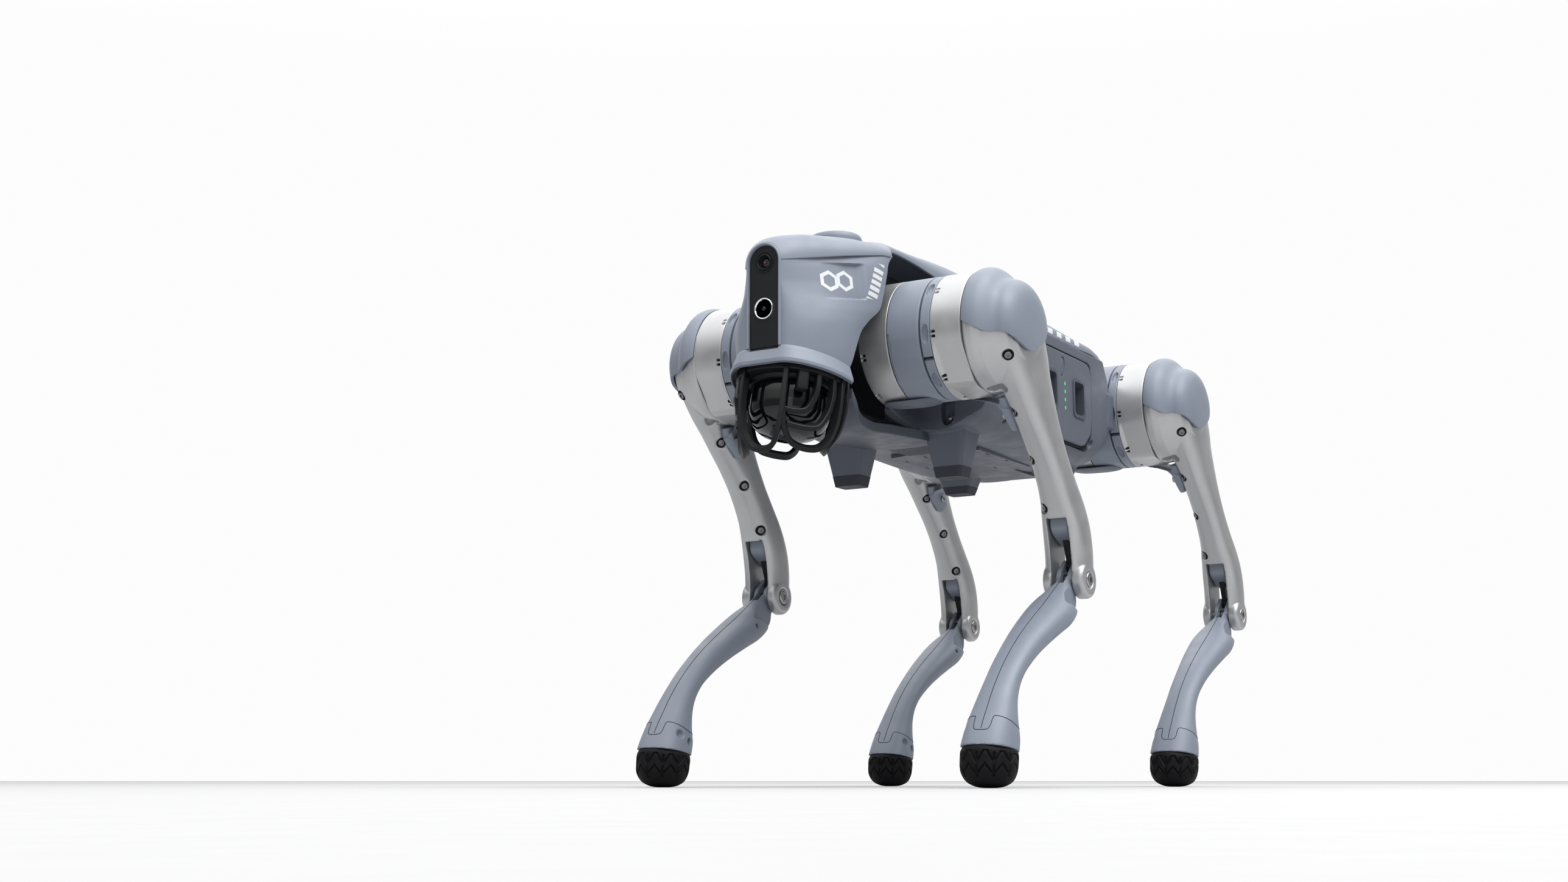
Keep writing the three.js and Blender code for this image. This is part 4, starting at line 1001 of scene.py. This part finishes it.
def belly():
    """The belly plate with its slots, and the finned strip at its front."""
    outline = [(52, 23), (46, 43.4), (-61, 43.4), (-69, 24), (-126, 24)]
    outline += [(x, -y) for x, y in outline[::-1]]
    plate = grid([[(x, y, -61.2) for x, y in outline], [(x, y, -63.4) for x, y in outline],
                  [(x * 0.995, y * 0.99, -64.2) for x, y in outline]])
    slot = cylinder(1.2, -3, 3, 24, "Z")
    slots = [moved(slot, Matrix.Translation((x, y, -64)) @ Matrix.Diagonal((3.2, 1, 1, 1)))
             for x, y in ((22, 40), (-18, 40), (22, -40), (-18, -40),
                          (36, 14), (36, -14), (-50, 14), (-50, -14))]
    put("belly_cover", carved(plate, slots), DARK_SLATE, node="belly_plate")
    fins = [box(54 + 2.6 * i, 55.4 + 2.6 * i, -22, 22, -65.4, -61, 0.3, 2) for i in range(17)]
    fins.append(box(53, 99, -22.6, 22.6, -62.4, -60, 0.4, 2))
    put("belly_fins", joined(fins), DARK_SLATE)
    heads = [moved(screw(2.6, 1.8), facing((x, y, -62), (0, 0, -1)))
             for x, y in ((104, 27), (104, -27), (100, 6), (100, -6))]
    put("belly_screws", joined(heads), STEEL)


def neck():
    """The bracket under the neck, the neck's beams, and the ribbed sleeves of its cables."""
    channel = [(-1, 6.5), (-1, -1.6), (-0.55, -3.2), (0, -3.6), (0.55, -3.2), (1, -1.6), (1, 6.5),
               (0.93, 6.5), (0.9, 1), (0, 0.4), (-0.9, 1), (-0.93, 6.5)]
    stations = [(104, 34, -64.6), (140, 34, -66.6), (180, 31, -68.6), (214, 27, -69.6), (232, 29, -67),
                (247, 34, -60), (258, 36, -52)]
    bracket = grid([[(x, s * half, z + h) for s, h in channel] for x, half, z in curve(stations, 50)])
    put("chin_bracket", cast([bracket], voxel=0.8, soften=3), DARK_SLATE)
    beams = [box(142, 244, -2.4, 2.4, -60, 68), box(118, 244, -24, 24, 54, 66, 3),
             box(118, 246, -22, 22, -62, -56, 2)]
    put("neck_core", joined(beams), BLACK)
    around = np.linspace(0, 2 * math.pi, 20, endpoint=False)
    sideways = np.array([0, 1, 0])
    for side, name in SIDES:
        points = [(242, 14, -34), (228, 13, -54), (202, 12, -60.5), (170, 12, -62), (140, 12, -62)]
        path, forward = along_path([(x, side * y, z) for x, y, z in points], 160)
        rings = []
        for i, (p, f) in enumerate(zip(path, forward)):
            radius, over = 3.4 + 0.5 * math.sin(i * 1.6), np.cross(f, sideways)
            rings.append([p + radius * (math.cos(a) * over + math.sin(a) * sideways) for a in around])
        put(f"neck_cable_{name}", grid(rings), BLACK)


# ---- battery
OUTLINE = [(36.6, 22), (28, 31), (-80, 31), (-87, 27), (-90.6, 17), (-90.8, -20), (-86, -36), (-72, -48),
           (-62, -50), (24, -50), (33, -44), (36.6, -30)]
PACK_X, PACK_Z = -27, -9.5
GRIP_SPREAD = 31
GRIP_Z = -6.8
BUTTON_X, BUTTON_Z, BUTTON_LEAN = -23, 17.2, -12


def pack_ring(y, inset):
    """The battery's outline in the X-Z plane with its corners rounded, drawn in by an inset."""
    centre = np.array([PACK_X, PACK_Z])
    ring = []
    corners = [np.array(p, float) for p in OUTLINE]
    for before, corner, after in zip([corners[-1], *corners[:-1]], corners, [*corners[1:], corners[0]]):
        start, end = corner + (before - corner) * 0.22, corner + (after - corner) * 0.22
        for t in np.linspace(0, 1, 6):
            p = (1 - t) ** 2 * start + 2 * t * (1 - t) * corner + t * t * end
            p = p - (p - centre) / np.linalg.norm(p - centre) * inset
            ring.append((p[0], y, p[1]))
    return ring


def pocket(x, half, tall, y0, y1, corner):
    """A block with rounded corners that stands for a hole into the battery's face."""
    ring = []
    for cx, cz, start in ((1, 1, 0), (-1, 1, 90), (-1, -1, 180), (1, -1, 270)):
        for a in np.radians(np.linspace(start, start + 90, 9)):
            ring.append((x + cx * (half - corner) + corner * math.cos(a),
                         GRIP_Z + cz * (tall - corner) + corner * math.sin(a)))
    return grid([[(px, y, pz) for px, pz in ring] for y in (y0, y1)])


def button_place(y):
    return Matrix.Translation((BUTTON_X, y, BUTTON_Z)) @ turn(BUTTON_LEAN)


def battery():
    section = rounded([(-72, 1.5), (-72.4, 0.6), (-70, 0), (90, 0), (93.4, 0.5), (94.5, 1.8)], 0.8, 4)
    block = grid([pack_ring(y, inset) for y, inset in section])
    grips = [PACK_X + way * GRIP_SPREAD for way in (1, -1)]
    cuts = [pocket(x, 12.2, 16.6, 82, 130, 4.2) for x in grips]
    cuts.append(moved(cylinder(1, -5, 12, 48), button_place(93) @ Matrix.Diagonal((4.6, 1, 9.4, 1))))
    shell = cast([block], cuts, voxel=0.9, soften=2, keep=0.4)
    put("battery_shell", shell, SHADED_SLATE, "battery", node="battery_pack")
    # each grip: a rim, the pocket's lining and a catch towards the middle
    frames = []
    for x, catch in zip(grips, (-3.4, 1.4)):
        frames.append(carved(pocket(x, 13.4, 17.8, 93.6, 95.6, 4.6), [pocket(x, 10.6, 15, 80, 120, 3.6)]))
        frames.append(carved(pocket(x, 12.1, 16.5, 82.4, 94, 4.2), [pocket(x, 10.9, 15.3, 83.6, 120, 3.7)]))
        frames.append(box(x + catch, x + catch + 2, 83, 91, -19, 5, 0.6))
    put("battery_frames", joined(frames), DARK_SLATE, "battery")
    light = lathe(rounded([(0, 0), (1, 0), (1, 0.5), (0.01, 0.62)], 0.2), 32)
    lights = [moved(light, Matrix.Translation((PACK_X, 94.3, z)) @ Matrix.Diagonal((0.95, 1, 1.7, 1)))
              for z in (2, -5.3, -12.6, -20)]
    put("charge_lights", joined(lights), LED_GREEN, "battery")
    button = lathe(rounded([(0, -3), (1, -3), (1, 0.4), (0.75, 1.1), (0.01, 0.3)], 0.3, 4), 48)
    button = moved(button, button_place(93.4) @ Matrix.Diagonal((3.7, 1, 8.2, 1)))
    put("power_cap", button, SHADED_SLATE, "button", node="power_button")
    # the dark gap round the battery's face
    gap = [(84, -1), (93.35, -1), (93.35, 0.3), (84, 0.3), (84, -1)]
    put("battery_gap", grid([pack_ring(y, inset) for y, inset in gap], caps=False), SEAM_AND_SHADE)


# ---- studio
HEADING = math.radians(211.33)
PITCH = 0.1781
CAMERA_AT = (1533.96, 750.4, -347.6)
WALL, ROOM, CEILING = 0.98, 0.26, 2.05
FLOOR_REACH = 30
# rows of (name, place, what it looks at, size in metres, watts)
LIGHTS = [("key", (0.5, 1.1, 2.1), (0, 0.1, 0.3), 1.9, 46),
          ("front_fill", (2.6, 0.9, 0.9), (0, 0, 0.25), 1.6, 6)]


def studio():
    corners = [(x * FLOOR_REACH, y * FLOOR_REACH, 0) for x, y in ((-1, -1), (1, -1), (1, 1), (-1, 1))]
    ground = link(mesh_of(corners, [[0, 1, 2, 3]]), "studio_floor")
    ground.data.materials.append(material("pale_floor", (0.44, 0.44, 0.445), 0.7, mottle=0.01))
    # a dim room with a white wall behind the robot and a soft bright ceiling
    world = bpy.data.worlds.new("studio")
    world.use_nodes = True
    nodes, links = world.node_tree.nodes, world.node_tree.links
    where = nodes.new("ShaderNodeTexCoord").outputs["Generated"]

    def glow(direction, near, far, low, high):
        """Brightness that rises from low to high as the view nears a direction."""
        dot, ramp = nodes.new("ShaderNodeVectorMath"), nodes.new("ShaderNodeMapRange")
        dot.operation = "DOT_PRODUCT"
        dot.inputs[1].default_value = Vector(direction).normalized()
        links.new(where, dot.inputs[0])
        links.new(dot.outputs["Value"], ramp.inputs["Value"])
        ramp.interpolation_type = "SMOOTHSTEP"
        ramp.inputs["From Min"].default_value, ramp.inputs["From Max"].default_value = far, near
        ramp.inputs["To Min"].default_value, ramp.inputs["To Max"].default_value = low, high
        return ramp.outputs["Result"]

    total = nodes.new("ShaderNodeMath")
    total.operation = "ADD"
    wall = (math.cos(HEADING), math.sin(HEADING), 0.15)
    links.new(glow(wall, 0.86, 0.62, 0.0, WALL - ROOM), total.inputs[0])
    links.new(glow((0, 0, 1), 0.9, 0.35, ROOM, CEILING), total.inputs[1])
    links.new(total.outputs[0], nodes["Background"].inputs["Strength"])
    nodes["Background"].inputs["Color"].default_value = (1, 1, 1, 1)
    bpy.context.scene.world = world
    bpy.context.scene.view_settings.view_transform = "Standard"
    for name, at, look, size, power in LIGHTS:
        lamp = bpy.data.lights.new(name, "AREA")
        lamp.size, lamp.energy = size, power
        obj = bpy.data.objects.new(name, lamp)
        obj.matrix_world = facing(at, Vector(at) - Vector(look))
        bpy.context.scene.collection.objects.link(obj)
    camera = bpy.data.cameras.new("camera")
    camera.lens, camera.sensor_width, camera.shift_y = 43.86, 36, -0.0027
    camera.clip_start, camera.clip_end = 0.05, 30
    view = bpy.data.objects.new("camera", camera)
    look = Vector((math.cos(HEADING) * math.cos(PITCH), math.sin(HEADING) * math.cos(PITCH), math.sin(PITCH)))
    view.matrix_world = (TRUNK @ Matrix.Translation(CAMERA_AT) @ Matrix.Scale(1000, 4)
                         @ look.to_track_quat("-Z", "Y").to_matrix().to_4x4())
    bpy.context.scene.collection.objects.link(view)
    bpy.context.scene.camera = view


def kept_materials():
    """The frame's own parts that still show, in the colours of the pieces."""
    colours = {"main_board": BOARD, "front_hip_motors": STEEL, "rear_hip_motors": STEEL}
    for leg, _, _ in LEGS:
        colours |= {f"{leg}_push_rod": BLACK, f"{leg}_knee_crank": STEEL}
    for node, mat in colours.items():
        slots = frame["nodes"][node].data.materials
        slots.clear()
        slots.append(mat)


hip_barrels()
thigh_parts()
shoulder_caps()
shank_parts()
foot_parts()
top_cover()
head()
sensor()
trunk_shell()
belly()
neck()
battery()
kept_materials()
studio()
